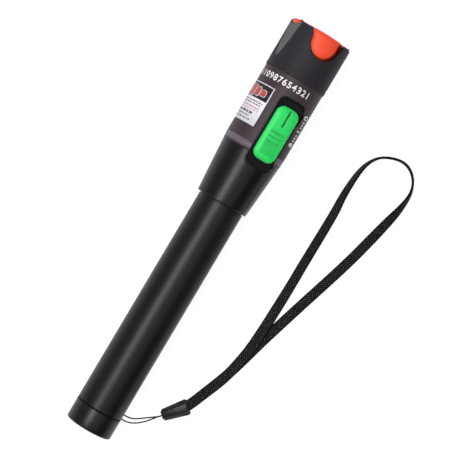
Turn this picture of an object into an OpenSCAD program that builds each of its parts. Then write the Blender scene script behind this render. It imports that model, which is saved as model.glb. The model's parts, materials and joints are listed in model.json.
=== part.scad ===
/* [Pen body] */
// Outer diameter of the barrel and the tail cap
barrel_d = 18.8; // [18.6:0.1:20]
// Outer diameter of the head housing
head_d = 24.8; // [24.4:0.1:27]
// Outer diameter of the housing's narrow end, over the barrel
collar_d = 21.0; // [20.6:0.1:22]
// Outer diameter of the front crown
crown_d = 25.5; // [25.4:0.1:28]
// Length of the tail cap that shows
tail_cap_l = 8.3; // [7:0.1:12]
// Width of the black seal line between tail cap and barrel
seal_t = 0.55; // [0.4:0.05:1]
// Length of the head housing that shows
housing_l = 54.5; // [54:0.5:60]
// Length of the housing's taper
taper_l = 26.4; // [20:0.2:28]
// Length of the crown
crown_l = 20; // [19:0.5:24]
// How far the dust cap stands in front of the crown
cap_proud = 0.45; // [0.2:0.05:1]

/* [Switch] */
// Turn of the switch from the top of the pen, in degrees
roll = 23; // [0:1:40]
// Length of the sliding knob
knob_l = 22.7; // [20:0.1:23]
// Width of the sliding knob
knob_w = 10; // [8:0.1:10.2]
// How far the knob's top stands over the head
knob_proud = 1.3; // [0.8:0.1:2.5]
// Travel of the knob to each side of its middle stop
knob_travel = 2; // [1:0.25:2.5]
// Length of the pocket that the knob slides in
pocket_l = 28.7; // [27.5:0.1:29]
// Width of that pocket
pocket_w = 11; // [10.8:0.1:11.4]
// Distance from the pocket's middle to the crown
pocket_from_crown = 22; // [20.5:0.1:23]

/* [Crown notches] */
// Turn of the large notch from the top of the pen, in degrees
crown_turn = 19; // [0:1:40]
// Half width of the large notch's round bottom
notch_r = 6.4; // [5:0.1:7]
// Depth of the large notch
notch_depth = 9.7; // [8:0.1:10.4]
// Half width of the large notch at the rim
notch_rim_w = 7.7; // [7.1:0.1:8.5]
// Depth of the small notch
scallop_depth = 2; // [1:0.1:3]
// Half width of the small notch at the rim
scallop_w = 5.6; // [4:0.1:6]
// Depth of the milled flat at the rim
flat_depth = 0.55; // [0.2:0.05:0.8]
// Length of the milled flat
flat_l = 15.7; // [10:0.1:17]
// Turn of the milled flat from the large notch, in degrees
flat_turn = -77.5; // [-85:0.5:-70]

/* [Power] */
// Diameter of one cell
cell_d = 14.2; // [13.5:0.1:14.4]
// Length of one cell with its button
cell_l = 50.5; // [48:0.1:50.8]
// Diameter of the bore for the cells
bore_d = 14.9; // [14.8:0.05:15.3]
// Diameter of the screw joint of the tail cap
screw_d = 16.4; // [16.3:0.05:16.6]
// Length of the screw joint
screw_l = 7.2; // [6:0.1:8]
// Wire diameter of the tail spring
wire_d = 0.8; // [0.6:0.05:1]
// Outer diameter of the tail spring
spring_d = 10; // [8:0.1:12]
// Length of the tail spring, pressed by the cells
spring_l = 8.75; // [7:0.05:12]

/* [Optics] */
// Inner diameter of the ceramic sleeve, for the usual ferrule
ferrule_d = 2.5; // [2.4:0.05:2.6]
// Outer diameter of the ceramic sleeve
ceramic_d = 3.2; // [3.1:0.05:3.6]
// Length of the ceramic sleeve
ceramic_l = 11.3; // [10:0.1:11.4]
// Outer diameter of the neck round the ceramic sleeve
neck_d = 8; // [7:0.1:8.6]
// Diameter of the laser diode's base
diode_d = 5.6; // [5:0.1:6]

/* [Lanyard] */
// Diameter of the thin cord
cord_d = 0.56; // [0.4:0.02:0.58]
// Width of the strap
strap_w = 4.1; // [3.5:0.1:4.2]
// Thickness of the strap
strap_t = 1; // [0.8:0.05:1.05]
// Length of the cord clasp
clasp_l = 11; // [10:0.1:12]
// Width of the cord clasp at the strap's end
clasp_w = 6.3; // [6:0.1:7]
// Height of the cord clasp at the strap's end
clasp_h = 4.2; // [4:0.1:5]

/* [Hidden] */

// Named clearances and the overrun of every cut
cut = 1;
press_gap = 0.02;
run_gap = 0.05;
slide_gap = 0.3;
big_fn = 96;
small_fn = 48;
hull_fn = 32;

// Stack of spring, cells and contact from the tail, and where the barrel ends over it
cap_floor_t = 2.2;
seat_t = 0.5;
contact_t = 0.5;
chamber_step = 0.9;
barrel_spigot_l = 12;
spring_x = cap_floor_t + seat_t;
rear_cell_x = spring_x + spring_l;
front_cell_x = rear_cell_x + cell_l;
contact_x = front_cell_x + cell_l;
chamber_x = contact_x + contact_t;
barrel_end_x = chamber_x - chamber_step;

// Places along the axis, from the tail
barrel_x = tail_cap_l + seal_t;
housing_x = barrel_end_x - barrel_spigot_l;
crown_x = housing_x + housing_l;
crown_front_x = crown_x + crown_l;
pen_l = crown_front_x + cap_proud;
pocket_x = crown_x - pocket_from_crown;

// Radii of the shells
barrel_r = barrel_d / 2;
head_r = head_d / 2;
collar_r = collar_d / 2;
crown_r = crown_d / 2;
screw_r = screw_d / 2;
bore_r = bore_d / 2;
cell_r = cell_d / 2;
edge_c = 0.6;
rear_edge_c = 0.25;

// Tail cap
screw_wall = 0.8;
relief_l = 3.2;
relief_depth = 0.3;
seal_inset = 0.25;

// Eyelet of the lanyard, in the barrel's wall
eyelet_turn = 100;
eyelet_back = 2.1;
eyelet_x = barrel_x + eyelet_back;
eyelet_d = 1.1;
eyelet_slot_w = 0.9;
eyelet_notch_d = 1.4;
eyelet_slot_depth = 0.66;
eyelet_slot_r = screw_r + eyelet_slot_depth;

// Barrel
barrel_step = 0.4;
barrel_spigot_r = barrel_r - barrel_step;

// Housing
taper_steps = 8;
taper_power_share = 1.15;
collar_edge_c = 0.2;

// The chamber leaves a wall at its rear end, in the head and in the crown
chamber_wall = 1.02;
head_wall = 1.85;
crown_seat_wall = 2.2;
chamber_r = min(skin_r(chamber_x) - chamber_wall, head_r - head_wall, crown_r - crown_seat_wall);
housing_spigot_l = 5.4;
spigot_wall = 0.9;
housing_spigot_r = chamber_r + spigot_wall;

// Printed sleeve
sleeve_t = 0.3;
sleeve_back = 32.1;
sleeve_x = crown_x - sleeve_back;

// The pen lies on the tail cap's edge and on the lowest edge of its head
low_points = concat(
    [[crown_r, crown_x + rear_edge_c]],
    skin_points(housing_x + collar_edge_c, sleeve_x),
    skin_points(sleeve_x, crown_x)
);
lean = atan(max([for (p = low_points) (p[0] - barrel_r) / (p[1] - edge_c)]));
lift = barrel_r * cos(lean) - edge_c * sin(lean);
origin_x = (pen_l * cos(lean) + (head_r - slide_gap) * sin(lean) - barrel_r * sin(lean)) / 2;

// Crown
floor_gap = 0.1;
floor_x = crown_x + housing_spigot_l + floor_gap;
floor_t = 1.5;
floor_front_x = floor_x + floor_t;
crown_wall = 1.85;
crown_in_r = crown_r - crown_wall;
groove_x = crown_x + 2;
groove_w = 0.5;
groove_depth = 0.18;
rim_c = 0.35;
flat_rise = atan(flat_depth / flat_l);

// Dust cap
cap_front_t = 2.6;
cap_skirt_wall = 1.5;
cap_tube_wall = 1.6;
cap_edge_r = 1.1;
cap_tab_inset = 0.6;
tongue_gap = 0.5;
cap_arc_n = 5;
cap_skirt_r = crown_in_r - slide_gap;
cap_lead_in = 0.5;
cap_grip_gap = 0.08;

// Battery stack
contact_r = 5.5;
button_l = 1.3;
button_r = 2.75;
cell_edge_c = 0.5;
seat_r = screw_r - screw_wall - slide_gap;
spring_turns = 6;
spring_ring_n = 12;
spring_side_n = 6;

// Chassis and board, measured outward in the knob's direction
chassis_r = chamber_r - slide_gap / 3;
chassis_over = 2.8;
chassis_end_x = crown_x + chassis_over;
chassis_front_l = 9;
chassis_back_t = 2;
chassis_wall = 1.7;
chassis_trough_r = chamber_r - chassis_wall;
board_x = chamber_x + chassis_back_t + slide_gap;
board_end_x = chassis_end_x - chassis_front_l - slide_gap;

// Slide switch on the board
case_l = 13;
case_w = 6.5;
case_h = 3.6;
case_wall = 0.4;
case_slot_w = 2.5;
lever_w = 2;
lever_foot_l = 5;
lever_foot_w = 4;
lever_foot_h = 1.4;
lever_h = 1.5;
lever_over_floor = 0.35;

// Bezel and knob, measured outward in the knob's direction
bezel_rim = 0.45;
bezel_gap = 0.05;
bezel_depth = 3.45;
bezel_floor = head_r - bezel_depth;
bezel_floor_t = 1;
bezel_flange_l = 1.3;
pocket_corner = 2.2;
bezel_l = pocket_l + 2 * bezel_rim;
bezel_w = pocket_w + 2 * bezel_rim;
knob_floor_gap = 0.2;
knob_bottom = bezel_floor + bezel_floor_t + knob_floor_gap;
knob_top_r = head_r + knob_proud;
knob_corner = 3.3;
stem_l = 5;
stem_w = 3.8;
stem_over_case = 0.5;
stem_socket_gap = 0.1;

// Heights of lever, switch case and board under the bezel, and the parts on the board beside the case
lever_top = bezel_floor + lever_over_floor;
case_top = lever_top - lever_h;
stem_bottom = case_top + stem_over_case;
board_top = case_top - case_h;
board_t = 1;
board_seat = board_top - board_t;
board_w = 2 * (sqrt(chassis_r * chassis_r - board_top * board_top) - slide_gap);
rear_part_shares = [[0.3, -0.2, 0.4, 0.3, 0.6], [0.36, 0.25, 0.3, 0.14, 0.5]];
front_part_shares = [
    [0.34, -0.22, 0.5, 0.24, 1], [0.46, 0.2, 0.26, 0.12, 0.6],
    [0.78, 0.22, 0.18, 0.12, 0.45], [0.78, -0.02, 0.18, 0.1, 0.45]
];
board_part_h = 2.6;

// Slices of the knob as shares: inset over its edge, and height over its crowned part
knob_edge = 1.3;
knob_crown = 1.5;
knob_slice_shares = [[0, 0], [0.2, 0.35], [0.62, 0.7], [1.7, 1]];
knob_slice_t = 0.05;

// Marks on the knob's top
knob_slot_l = 7;
knob_slot_w = 0.9;
knob_slot_depth = 0.7;
knob_slot_back = 0.95;
knob_pit_shares = [0.25, 0.85];
knob_pit_depth = 0.5;
ridge_w = 6.8;
ridge_l = 0.9;
ridge_pitch = 1.95;
ridge_n = 3;
ridge_first = 10.4;
ridge_depth = 0.3;
pad_l = 5.2;
pad_w = 7;
pad_back = 2;
pad_depth = 0.18;
pad_corner = 1;

// Optics
holder_x = chassis_end_x + slide_gap;
holder_flange_r = chamber_r - slide_gap / 2;
neck_r = neck_d / 2;
neck_l = 11;
neck_lip_t = 0.4;
neck_lip_gap = 0.15;
neck_lip_r = ferrule_d / 2 + neck_lip_gap;
neck_lead_in = 0.4;
neck_edge_c = 0.5;
ceramic_r = ceramic_d / 2;
ceramic_slit = 0.35;
ceramic_end_x = floor_x + neck_l - neck_lip_t - run_gap;
ceramic_x = ceramic_end_x - ceramic_l;
ceramic_seat_x = ceramic_x - run_gap;
light_hole_r = 0.8;
brass_r = 5;
brass_inset = 1;
brass_x = chassis_end_x - chassis_front_l + brass_inset;
diode_r = diode_d / 2;
diode_inset = 1.2;
diode_x = brass_x + diode_inset;
diode_base_t = 1.2;
diode_can_r = 1.8;
diode_can_l = 2.2;
diode_pin_r = 0.23;
diode_pin_l = 5;
diode_pin_circle_r = 1.27;
lens_r = 1.75;
lens_t = 2;
lens_flat_r = 1.2;
lens_inset = 0.4;
lens_seat_x = chassis_end_x - lens_t - lens_inset;

// Lanyard: rows are x, y, lift over the surface and turn of the strap about its own line
clasp_x = 17.5;
clasp_y = -22;
clasp_turn = -40.5;
clasp_tip_share = 0.74;
clasp_low_share = 0.66;
clasp_bevel_share = 0.26;
clasp_tip_hole_d = 1.6;
clasp_hole_l = 4;
clasp_mouth_room_w = 1;
clasp_mouth_w = strap_w + clasp_mouth_room_w;
clasp_mouth_room_h = 0.7;
clasp_mouth_h = 2 * strap_t + clasp_mouth_room_h;
clasp_mouth_l = 3;
clasp_corner_c = 0.8;
clasp_mouth_z = 0.2;
tube_side_n = 8;
strap_ring_shares = [
    [1, 0.35], [0.86, 1], [-0.86, 1], [-1, 0.35], [-1, -0.35], [-0.86, -1], [0.86, -1], [1, -0.35]
];
strap_route = [
    [23.9, -27.4, 1.5, 0], [26.7, -29.1, 1.5, 0], [31.4, -31.1, 1.35, 0], [43.2, -35.6, 1.15, 0],
    [54.8, -38, 1.15, 0],
    [64.6, -38.8, 1.1, 4], [74.2, -39.1, 0.5, 12], [84, -39.3, 0, 22], [96, -39.3, 0, 28],
    [108, -39.4, 0, 32], [118.9, -39.4, 0, 38], [126.5, -39, 0, 52], [133.9, -39.2, 0, 62],
    [139.3, -39.9, 0, 72], [143.4, -41.4, 0, 82], [146.4, -43.8, 0, 88], [148.4, -47.3, 0, 90],
    [149.4, -51.3, 0, 90], [148.9, -54.8, 0, 90], [146.9, -57.8, 0, 88], [143.7, -60, 0, 84],
    [139.2, -61, 0, 74], [133, -60.4, 0, 52], [126.5, -59, 0, 28], [117, -56.8, 0, 8],
    [107, -54.3, 0, 0], [96, -51.1, 0, 0], [84, -47.4, 0, 0], [73, -44.1, 0, 0],
    [62.1, -40.9, 0, 0], [52.4, -38.3, 0, 0], [43, -35.5, 0, 0], [31.4, -31.1, 0.15, 0],
    [26.7, -29.1, 0.3, 0], [23.9, -27.4, 0.3, 0]
];
cord_route = [
    [19.8, -23.95, 1.72], [18.3, -22.7, 1.72], [17, -21.55, 1.68], [15.7, -20, 1.4], [14.2, -18, 1],
    [12.7, -16, 1.1], [11.6, -14.2, 2.2], [11, -12.7, 4.2], [10.9, -11.4, 6.2], [10.95, -10.4, 7.5],
    [11, -9.5, 7.95], [10.98, -8.9, 8.06], [10.8, -8.5, 8.12], [10.3, -8.4, 8.13], [9.8, -8.4, 8.12],
    [9.44, -8.45, 8.11], [9.2, -8.85, 8.02], [9.18, -9.45, 7.92], [9.1, -10.4, 7.3], [9, -11.5, 5.6],
    [9.1, -12.8, 3.5], [9.6, -14.3, 1.6], [10.7, -16, 0.6], [12.3, -17.8, 0.4], [14.1, -19.3, 0.45],
    [15.7, -20.5, 0.75], [17, -21.6, 1.03], [18.3, -22.7, 1.06], [19.8, -23.95, 1.06]
];

// Shapes that repeat
module in_place() {
    translate([-origin_x, 0, lift]) rotate([0, -lean, 0]) children();
}

module rod(x0, x1, r, fn = big_fn) {
    translate([x0, 0, 0]) rotate([0, 90, 0]) cylinder(h = x1 - x0, r = r, $fn = fn);
}

module tube(x0, x1, r, hole_r, fn = big_fn) {
    difference() {
        rod(x0, x1, r, fn);
        rod(x0 - cut, x1 + cut, hole_r, fn);
    }
}

// Turned solid from points of radius and place along the axis
module turned(points, fn = big_fn) {
    rotate([0, 90, 0]) rotate_extrude($fn = fn) polygon(points);
}

// Flat slab with round corners, its middle at the origin
module round_slab(l, w, r, z0, z1) {
    translate([0, 0, z0]) linear_extrude(z1 - z0) {
        square([l - 2 * r, w], center = true);
        square([l, w - 2 * r], center = true);
        for (sx = [-1, 1], sy = [-1, 1])
            translate([sx * (l / 2 - r), sy * (w / 2 - r)]) circle(r = r, $fn = small_fn);
    }
}

module block(l, w, z0, z1) {
    translate([-l / 2, -w / 2, z0]) cube([l, w, z1 - z0]);
}

module facing_knob() {
    rotate([roll, 0, 0]) translate([pocket_x, 0, 0]) children();
}

// Radius of the housing's skin at a place along the axis
function skin_r(x) =
    let (t = min(1, max(0, (x - housing_x) / taper_l)))
    collar_r + (head_r - collar_r) * (1 - pow(1 - t, taper_power_share));

// Points of the skin from one place to another, radius first
function skin_points(x0, x1, inset = 0) =
    [for (i = [0 : taper_steps]) let (x = x0 + (x1 - x0) * i / taper_steps) [skin_r(x) - inset, x]];

// Tail
module tail_cap() {
    color([0.1, 0.1, 0.11]) in_place() difference() {
        turned([
            [0, 0], [barrel_r - edge_c, 0], [barrel_r, edge_c], [barrel_r, tail_cap_l],
            [screw_r - relief_depth, tail_cap_l], [screw_r - relief_depth, tail_cap_l + relief_l],
            [screw_r, tail_cap_l + relief_l + relief_depth], [screw_r, tail_cap_l + screw_l - rear_edge_c],
            [screw_r - rear_edge_c, tail_cap_l + screw_l], [0, tail_cap_l + screw_l]
        ]);
        rod(cap_floor_t, tail_cap_l + screw_l + cut, screw_r - screw_wall);
    }
}

module seal_ring() {
    color([0.02, 0.02, 0.02]) in_place()
        tube(tail_cap_l, barrel_x - press_gap, barrel_r - seal_inset, screw_r - relief_depth + press_gap);
}

module spring_seat() {
    color([0.75, 0.68, 0.4]) in_place() rod(cap_floor_t, cap_floor_t + seat_t, seat_r);
}

// Sweeps rings of points into one closed solid
module swept(rings) {
    n = len(rings);
    m = len(rings[0]);
    polyhedron(
        points = [for (ring = rings, p = ring) p],
        faces = concat(
            [[for (j = [m - 1 : -1 : 0]) j]],
            [for (i = [0 : n - 2], j = [0 : m - 1], side = [0, 1])
                side == 0
                    ? [i * m + j, i * m + (j + 1) % m, (i + 1) * m + (j + 1) % m]
                    : [i * m + j, (i + 1) * m + (j + 1) % m, (i + 1) * m + j]],
            [[for (j = [0 : m - 1]) (n - 1) * m + j]]
        )
    );
}

function spring_ring(t) =
    let (
        a = 360 * spring_turns * t,
        mid_r = (spring_d - wire_d) / 2,
        rise = (spring_l - wire_d) / (PI * 2 * mid_r * spring_turns),
        x = spring_x + wire_d / 2 + (spring_l - wire_d) * t
    )
    [for (j = [0 : spring_side_n - 1])
        let (b = 360 * j / spring_side_n, out = cos(b) * wire_d / 2, up = sin(b) * wire_d / 2)
        [x + up, (mid_r + out) * cos(a) + up * rise * sin(a), (mid_r + out) * sin(a) - up * rise * cos(a)]];

module tail_spring() {
    rings = [for (i = [0 : spring_turns * spring_ring_n]) spring_ring(i / (spring_turns * spring_ring_n))];
    color([0.8, 0.8, 0.82]) in_place() swept(rings);
}

module barrel() {
    color([0.1, 0.1, 0.11]) in_place() difference() {
        turned([
            [0, barrel_x], [barrel_r, barrel_x], [barrel_r, housing_x - slide_gap],
            [barrel_spigot_r, housing_x - slide_gap], [barrel_spigot_r, barrel_end_x], [0, barrel_end_x]
        ]);
        rod(barrel_x - cut, barrel_end_x + cut, bore_r);
        rod(barrel_x - cut, barrel_x + screw_l, screw_r + run_gap);
        rotate([eyelet_turn, 0, 0]) {
            translate([eyelet_x, 0, 0]) cylinder(h = barrel_r + cut, d = eyelet_d, $fn = small_fn);
            translate([barrel_x, 0, 0]) cylinder(h = barrel_r + cut, d = eyelet_notch_d, $fn = small_fn);
            translate([barrel_x - cut, -eyelet_slot_w / 2, 0])
                cube([eyelet_x - barrel_x + cut, eyelet_slot_w, eyelet_slot_r]);
        }
    }
}

module battery(x) {
    turned([
        [0, x], [cell_r - cell_edge_c, x], [cell_r, x + cell_edge_c],
        [cell_r, x + cell_l - button_l - cell_edge_c], [cell_r - cell_edge_c, x + cell_l - button_l],
        [button_r, x + cell_l - button_l], [button_r, x + cell_l], [0, x + cell_l]
    ], small_fn);
}

module battery_rear() {
    color([0.35, 0.38, 0.42]) in_place() battery(rear_cell_x);
}

module battery_front() {
    color([0.35, 0.38, 0.42]) in_place() battery(front_cell_x);
}

module battery_contact() {
    color([0.8, 0.7, 0.35]) in_place() rod(contact_x, chamber_x, contact_r, small_fn);
}

// Head
module head_housing() {
    color([0.09, 0.09, 0.1]) in_place() difference() {
        turned(concat(
            [[0, housing_x], [collar_r - collar_edge_c, housing_x]],
            [for (p = skin_points(housing_x + collar_edge_c, sleeve_x)) p],
            [for (p = skin_points(sleeve_x, crown_x, sleeve_t + press_gap)) p],
            [[housing_spigot_r, crown_x], [housing_spigot_r, crown_x + housing_spigot_l],
             [0, crown_x + housing_spigot_l]]
        ));
        rod(housing_x - cut, chamber_x + cut, barrel_spigot_r + press_gap);
        rod(chamber_x, crown_x + housing_spigot_l + cut, chamber_r);
        facing_knob() round_slab(bezel_l, bezel_w, pocket_corner + bezel_rim, board_top, head_r + cut);
    }
}

module printed_sleeve() {
    color([0.29, 0.26, 0.29]) in_place() difference() {
        turned(concat(
            skin_points(sleeve_x, crown_x),
            [for (i = [taper_steps : -1 : 0]) skin_points(sleeve_x, crown_x, sleeve_t)[i]]
        ));
        facing_knob() round_slab(bezel_l, bezel_w, pocket_corner + bezel_rim, board_top, head_r + cut);
    }
}

module switch_bezel() {
    color([0.04, 0.04, 0.045]) in_place() difference() {
        union() {
            intersection() {
                facing_knob() round_slab(bezel_l - 2 * bezel_gap, bezel_w - 2 * bezel_gap,
                    pocket_corner + bezel_rim - bezel_gap, bezel_floor, head_r + cut);
                turned(concat([[0, housing_x]], skin_points(housing_x, crown_x, bezel_gap), [[0, crown_x]]));
            }
            intersection() {
                facing_knob()
                    block(bezel_l + 2 * bezel_flange_l, bezel_w - 2 * bezel_gap, bezel_floor, head_r);
                rod(chamber_x, crown_x, chassis_r);
            }
        }
        facing_knob() {
            round_slab(pocket_l, pocket_w, pocket_corner, bezel_floor + bezel_floor_t, head_r + cut);
            block(stem_l + 2 * knob_travel + 2 * slide_gap, stem_w + 2 * slide_gap,
                bezel_floor - cut, head_r);
        }
    }
}

// One slice of the knob, drawn in from its outline
module knob_slice(inset, z) {
    l = knob_l / 2 - inset;
    w = knob_w / 2 - inset;
    r = knob_corner - inset / 2;
    for (sx = [-1, 1], sy = [-1, 1])
        translate([sx * (l - r), sy * (w - r), z - knob_slice_t])
            cylinder(h = knob_slice_t, r = r, $fn = hull_fn);
}

module knob_blank() {
    hull() {
        knob_slice(0, knob_bottom + knob_slice_t);
        for (s = knob_slice_shares)
            knob_slice(s[0] * knob_edge, knob_top_r - knob_crown * (1 - s[1]));
    }
}

module knob_marks() {
    slot_x = knob_l / 2 - knob_slot_back;
    translate([slot_x - knob_slot_l, -knob_slot_w / 2, knob_top_r - knob_slot_depth])
        cube([knob_slot_l, knob_slot_w, knob_slot_depth + cut]);
    for (s = knob_pit_shares)
        translate([slot_x - knob_slot_l * s, 0, knob_top_r - knob_slot_depth - knob_pit_depth])
            cylinder(h = knob_pit_depth + cut, d = knob_slot_w, $fn = small_fn);
    for (i = [0 : ridge_n - 1])
        translate([
            knob_l / 2 - ridge_first - ridge_l - i * ridge_pitch, -ridge_w / 2, knob_top_r - ridge_depth
        ]) cube([ridge_l, ridge_w, ridge_depth + cut]);
    translate([pad_back + pad_l / 2 - knob_l / 2, 0, 0])
        round_slab(pad_l, pad_w, pad_corner, knob_top_r - pad_depth, knob_top_r + cut);
}

module slide_knob() {
    socket = lever_w + 2 * stem_socket_gap;
    color([0.15, 0.85, 0.35]) in_place() facing_knob() difference() {
        union() {
            knob_blank();
            block(stem_l, stem_w, stem_bottom, knob_bottom + knob_slice_t);
        }
        knob_marks();
        block(socket, socket, stem_bottom - cut, lever_top + stem_socket_gap);
    }
}

module switch_slider() {
    color([0.9, 0.9, 0.88]) in_place() facing_knob() {
        block(lever_foot_l, lever_foot_w, board_top + case_wall + slide_gap,
            board_top + case_wall + slide_gap + lever_foot_h);
        block(lever_w, lever_w, board_top + case_wall + slide_gap, lever_top);
    }
}

module slide_switch() {
    color([0.75, 0.76, 0.78]) in_place() facing_knob() difference() {
        block(case_l, case_w, board_top, case_top);
        block(case_l - 2 * case_wall, case_w - 2 * case_wall, board_top + case_wall, case_top - case_wall);
        block(lever_w + 2 * knob_travel + 2 * slide_gap, case_slot_w,
            case_top - case_wall - cut, case_top + cut);
    }
}

module board_outline(z0, z1) {
    translate([board_x - pocket_x, -board_w / 2, z0]) cube([board_end_x - board_x, board_w, z1 - z0]);
}

module driver_board() {
    color([0.1, 0.4, 0.2]) in_place() facing_knob() board_outline(board_seat, board_top);
}

// Parts on a free stretch of the board: rows of place, place across, length, width and height
module board_parts(shares, x0, x1) {
    for (s = shares)
        translate([x0 - pocket_x + s[0] * (x1 - x0), s[1] * board_w, 0])
            block(s[2] * (x1 - x0), s[3] * board_w, board_top, board_top + s[4] * board_part_h);
}

module board_components() {
    color([0.12, 0.12, 0.13]) in_place() facing_knob() {
        board_parts(rear_part_shares, board_x, pocket_x - case_l / 2);
        board_parts(front_part_shares, pocket_x + case_l / 2, board_end_x);
    }
}

module chassis() {
    color([0.16, 0.16, 0.17]) in_place() difference() {
        rod(chamber_x, chassis_end_x, chassis_r);
        facing_knob() {
            translate([board_x - slide_gap - pocket_x, -head_r, board_seat])
                cube([board_end_x - board_x + 2 * slide_gap, head_d, head_r]);
            block(pocket_l + 2 * head_r, head_d, bezel_floor - slide_gap, head_r);
        }
        intersection() {
            rod(board_x, board_end_x, chassis_trough_r);
            facing_knob() translate([board_x - pocket_x, -head_r, -head_r])
                cube([board_end_x - board_x, head_d, head_r + board_seat + cut]);
        }
        rod(board_end_x - cut, chassis_end_x + cut, brass_r + press_gap);
    }
}

// Optics
module laser_diode() {
    color([0.8, 0.7, 0.4]) in_place() {
        rod(diode_x, diode_x + diode_base_t, diode_r - press_gap, small_fn);
        rod(diode_x, diode_x + diode_base_t + diode_can_l, diode_can_r, small_fn);
        for (a = [90, 210, 330])
            rotate([a, 0, 0]) translate([0, 0, diode_pin_circle_r])
                rod(diode_x - diode_pin_l, diode_x + diode_base_t / 2, diode_pin_r, small_fn);
    }
}

module diode_holder() {
    color([0.78, 0.6, 0.25]) in_place() difference() {
        rod(brass_x, chassis_end_x, brass_r);
        rod(brass_x - cut, diode_x + diode_base_t, diode_r);
        rod(brass_x, lens_seat_x - slide_gap, diode_can_r + slide_gap);
        rod(brass_x, chassis_end_x + cut, lens_flat_r);
        rod(lens_seat_x, chassis_end_x + cut, lens_r + press_gap);
    }
}

module focus_lens() {
    color([0.8, 0.9, 0.95]) in_place() turned([
        [0, lens_seat_x], [lens_flat_r, lens_seat_x], [lens_r, lens_seat_x + lens_t / 4],
        [lens_r, lens_seat_x + lens_t * 3 / 4], [lens_flat_r, lens_seat_x + lens_t],
        [0, lens_seat_x + lens_t]
    ], small_fn);
}

module ferrule_holder() {
    color([0.78, 0.79, 0.8]) in_place() difference() {
        rod(holder_x, floor_x - press_gap, holder_flange_r);
        rod(holder_x - cut, floor_x, light_hole_r, small_fn);
        rod(ceramic_seat_x, floor_x + cut, neck_r + press_gap);
    }
}

// Neck of the port, pressed into its holder, with a lip and a lead-in before the ceramic sleeve
module port_neck() {
    front_x = floor_x + neck_l;
    lip_x = front_x - neck_lip_t;
    color([0.78, 0.79, 0.8]) in_place() turned([
        [ceramic_r + press_gap, ceramic_seat_x], [neck_r, ceramic_seat_x], [neck_r, front_x - neck_edge_c],
        [neck_r - neck_edge_c, front_x], [neck_lip_r + neck_lead_in, front_x], [neck_lip_r, lip_x],
        [ceramic_r + press_gap, lip_x]
    ]);
}

module ceramic_sleeve() {
    color([0.95, 0.95, 0.93]) in_place() difference() {
        tube(ceramic_x, ceramic_end_x, ceramic_r, ferrule_d / 2, small_fn);
        translate([ceramic_x - cut, -ceramic_slit / 2, 0])
            cube([ceramic_l + 2 * cut, ceramic_slit, ceramic_r + cut]);
    }
}

// Outline of the large notch, drawn in by a clearance, from the crown's rim backward
module notch_prism(gap) {
    mid_x = crown_front_x - notch_depth + notch_r;
    translate([0, 0, crown_in_r / 2]) linear_extrude(crown_r) {
        translate([mid_x, 0]) circle(r = notch_r - gap, $fn = big_fn);
        polygon([
            [mid_x, gap - notch_r], [crown_front_x, gap - notch_rim_w],
            [crown_front_x + cut, gap - notch_rim_w], [crown_front_x + cut, notch_rim_w - gap],
            [crown_front_x, notch_rim_w - gap], [mid_x, notch_r - gap]
        ]);
    }
}

module scallop_prism(gap) {
    r = (scallop_w * scallop_w + scallop_depth * scallop_depth) / (2 * scallop_depth);
    translate([crown_front_x - scallop_depth + r, 0, crown_in_r / 2])
        cylinder(h = crown_r, r = r - gap, $fn = big_fn);
}

module front_crown() {
    color([0.2, 0.19, 0.21]) in_place() difference() {
        turned([
            [0, crown_x], [crown_r - rear_edge_c, crown_x], [crown_r, crown_x + rear_edge_c],
            [crown_r, groove_x], [crown_r - groove_depth, groove_x],
            [crown_r - groove_depth, groove_x + groove_w], [crown_r, groove_x + groove_w],
            [crown_r, crown_front_x - rim_c], [crown_r - rim_c, crown_front_x], [0, crown_front_x]
        ]);
        rod(crown_x - cut, floor_x, housing_spigot_r + run_gap);
        rod(floor_x - cut, floor_front_x + cut, neck_r + run_gap);
        rod(floor_front_x, crown_front_x + cut, crown_in_r);
        for (a = [0, 180])
            rotate([crown_turn + a, 0, 0]) {
                notch_prism(0);
                rotate([-90, 0, 0]) scallop_prism(0);
                rotate([flat_turn, 0, 0]) translate([crown_front_x, 0, crown_r - flat_depth])
                    rotate([0, flat_rise, 0])
                        translate([-flat_l - crown_wall, -crown_r, 0])
                            cube([flat_l + 2 * crown_wall, crown_d, crown_r]);
            }
    }
}

// Front edge of the dust cap, rounded, at a given outer radius
function cap_edge(r, ahead = 0) =
    [for (i = [0 : cap_arc_n])
        let (a = 90 * i / cap_arc_n)
        [r - cap_edge_r + cap_edge_r * cos(a), pen_l + ahead - cap_edge_r + cap_edge_r * sin(a)]];

module cap_blank(r, ahead = 0) {
    turned(concat(
        [[0, floor_front_x + slide_gap - ahead], [r, floor_front_x + slide_gap - ahead]],
        cap_edge(r, ahead),
        [[0, pen_l + ahead]]
    ));
}

// One turned profile: socket for the port's neck, groove, skirt and face
module dust_cap() {
    rear_x = floor_front_x + slide_gap;
    groove_end_x = pen_l - cap_front_t;
    socket_end_x = floor_x + neck_l + slide_gap;
    socket_r = neck_r + cap_grip_gap;
    groove_r = cap_skirt_r - cap_skirt_wall;
    color([0.98, 0.35, 0.18]) in_place() turned(concat(
        [
            [0, socket_end_x], [socket_r, socket_end_x], [socket_r, rear_x + cap_lead_in],
            [socket_r + cap_lead_in, rear_x], [socket_r + cap_tube_wall, rear_x],
            [socket_r + cap_tube_wall, groove_end_x], [groove_r, groove_end_x], [groove_r, rear_x],
            [cap_skirt_r, rear_x]
        ],
        cap_edge(cap_skirt_r),
        [[0, pen_l]]
    ));
}

// Tongues on the cap's skirt that fill the crown's notches
module cap_tongues() {
    color([0.98, 0.35, 0.18]) in_place() difference() {
        intersection() {
            cap_blank(crown_r - cap_tab_inset);
            for (a = [0, 180])
                rotate([crown_turn + a, 0, 0]) {
                    notch_prism(tongue_gap);
                    rotate([-90, 0, 0]) scallop_prism(tongue_gap);
                }
        }
        cap_blank(cap_skirt_r + press_gap, press_gap);
    }
}

// Lanyard
function unit(v) = v / norm(v);

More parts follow.
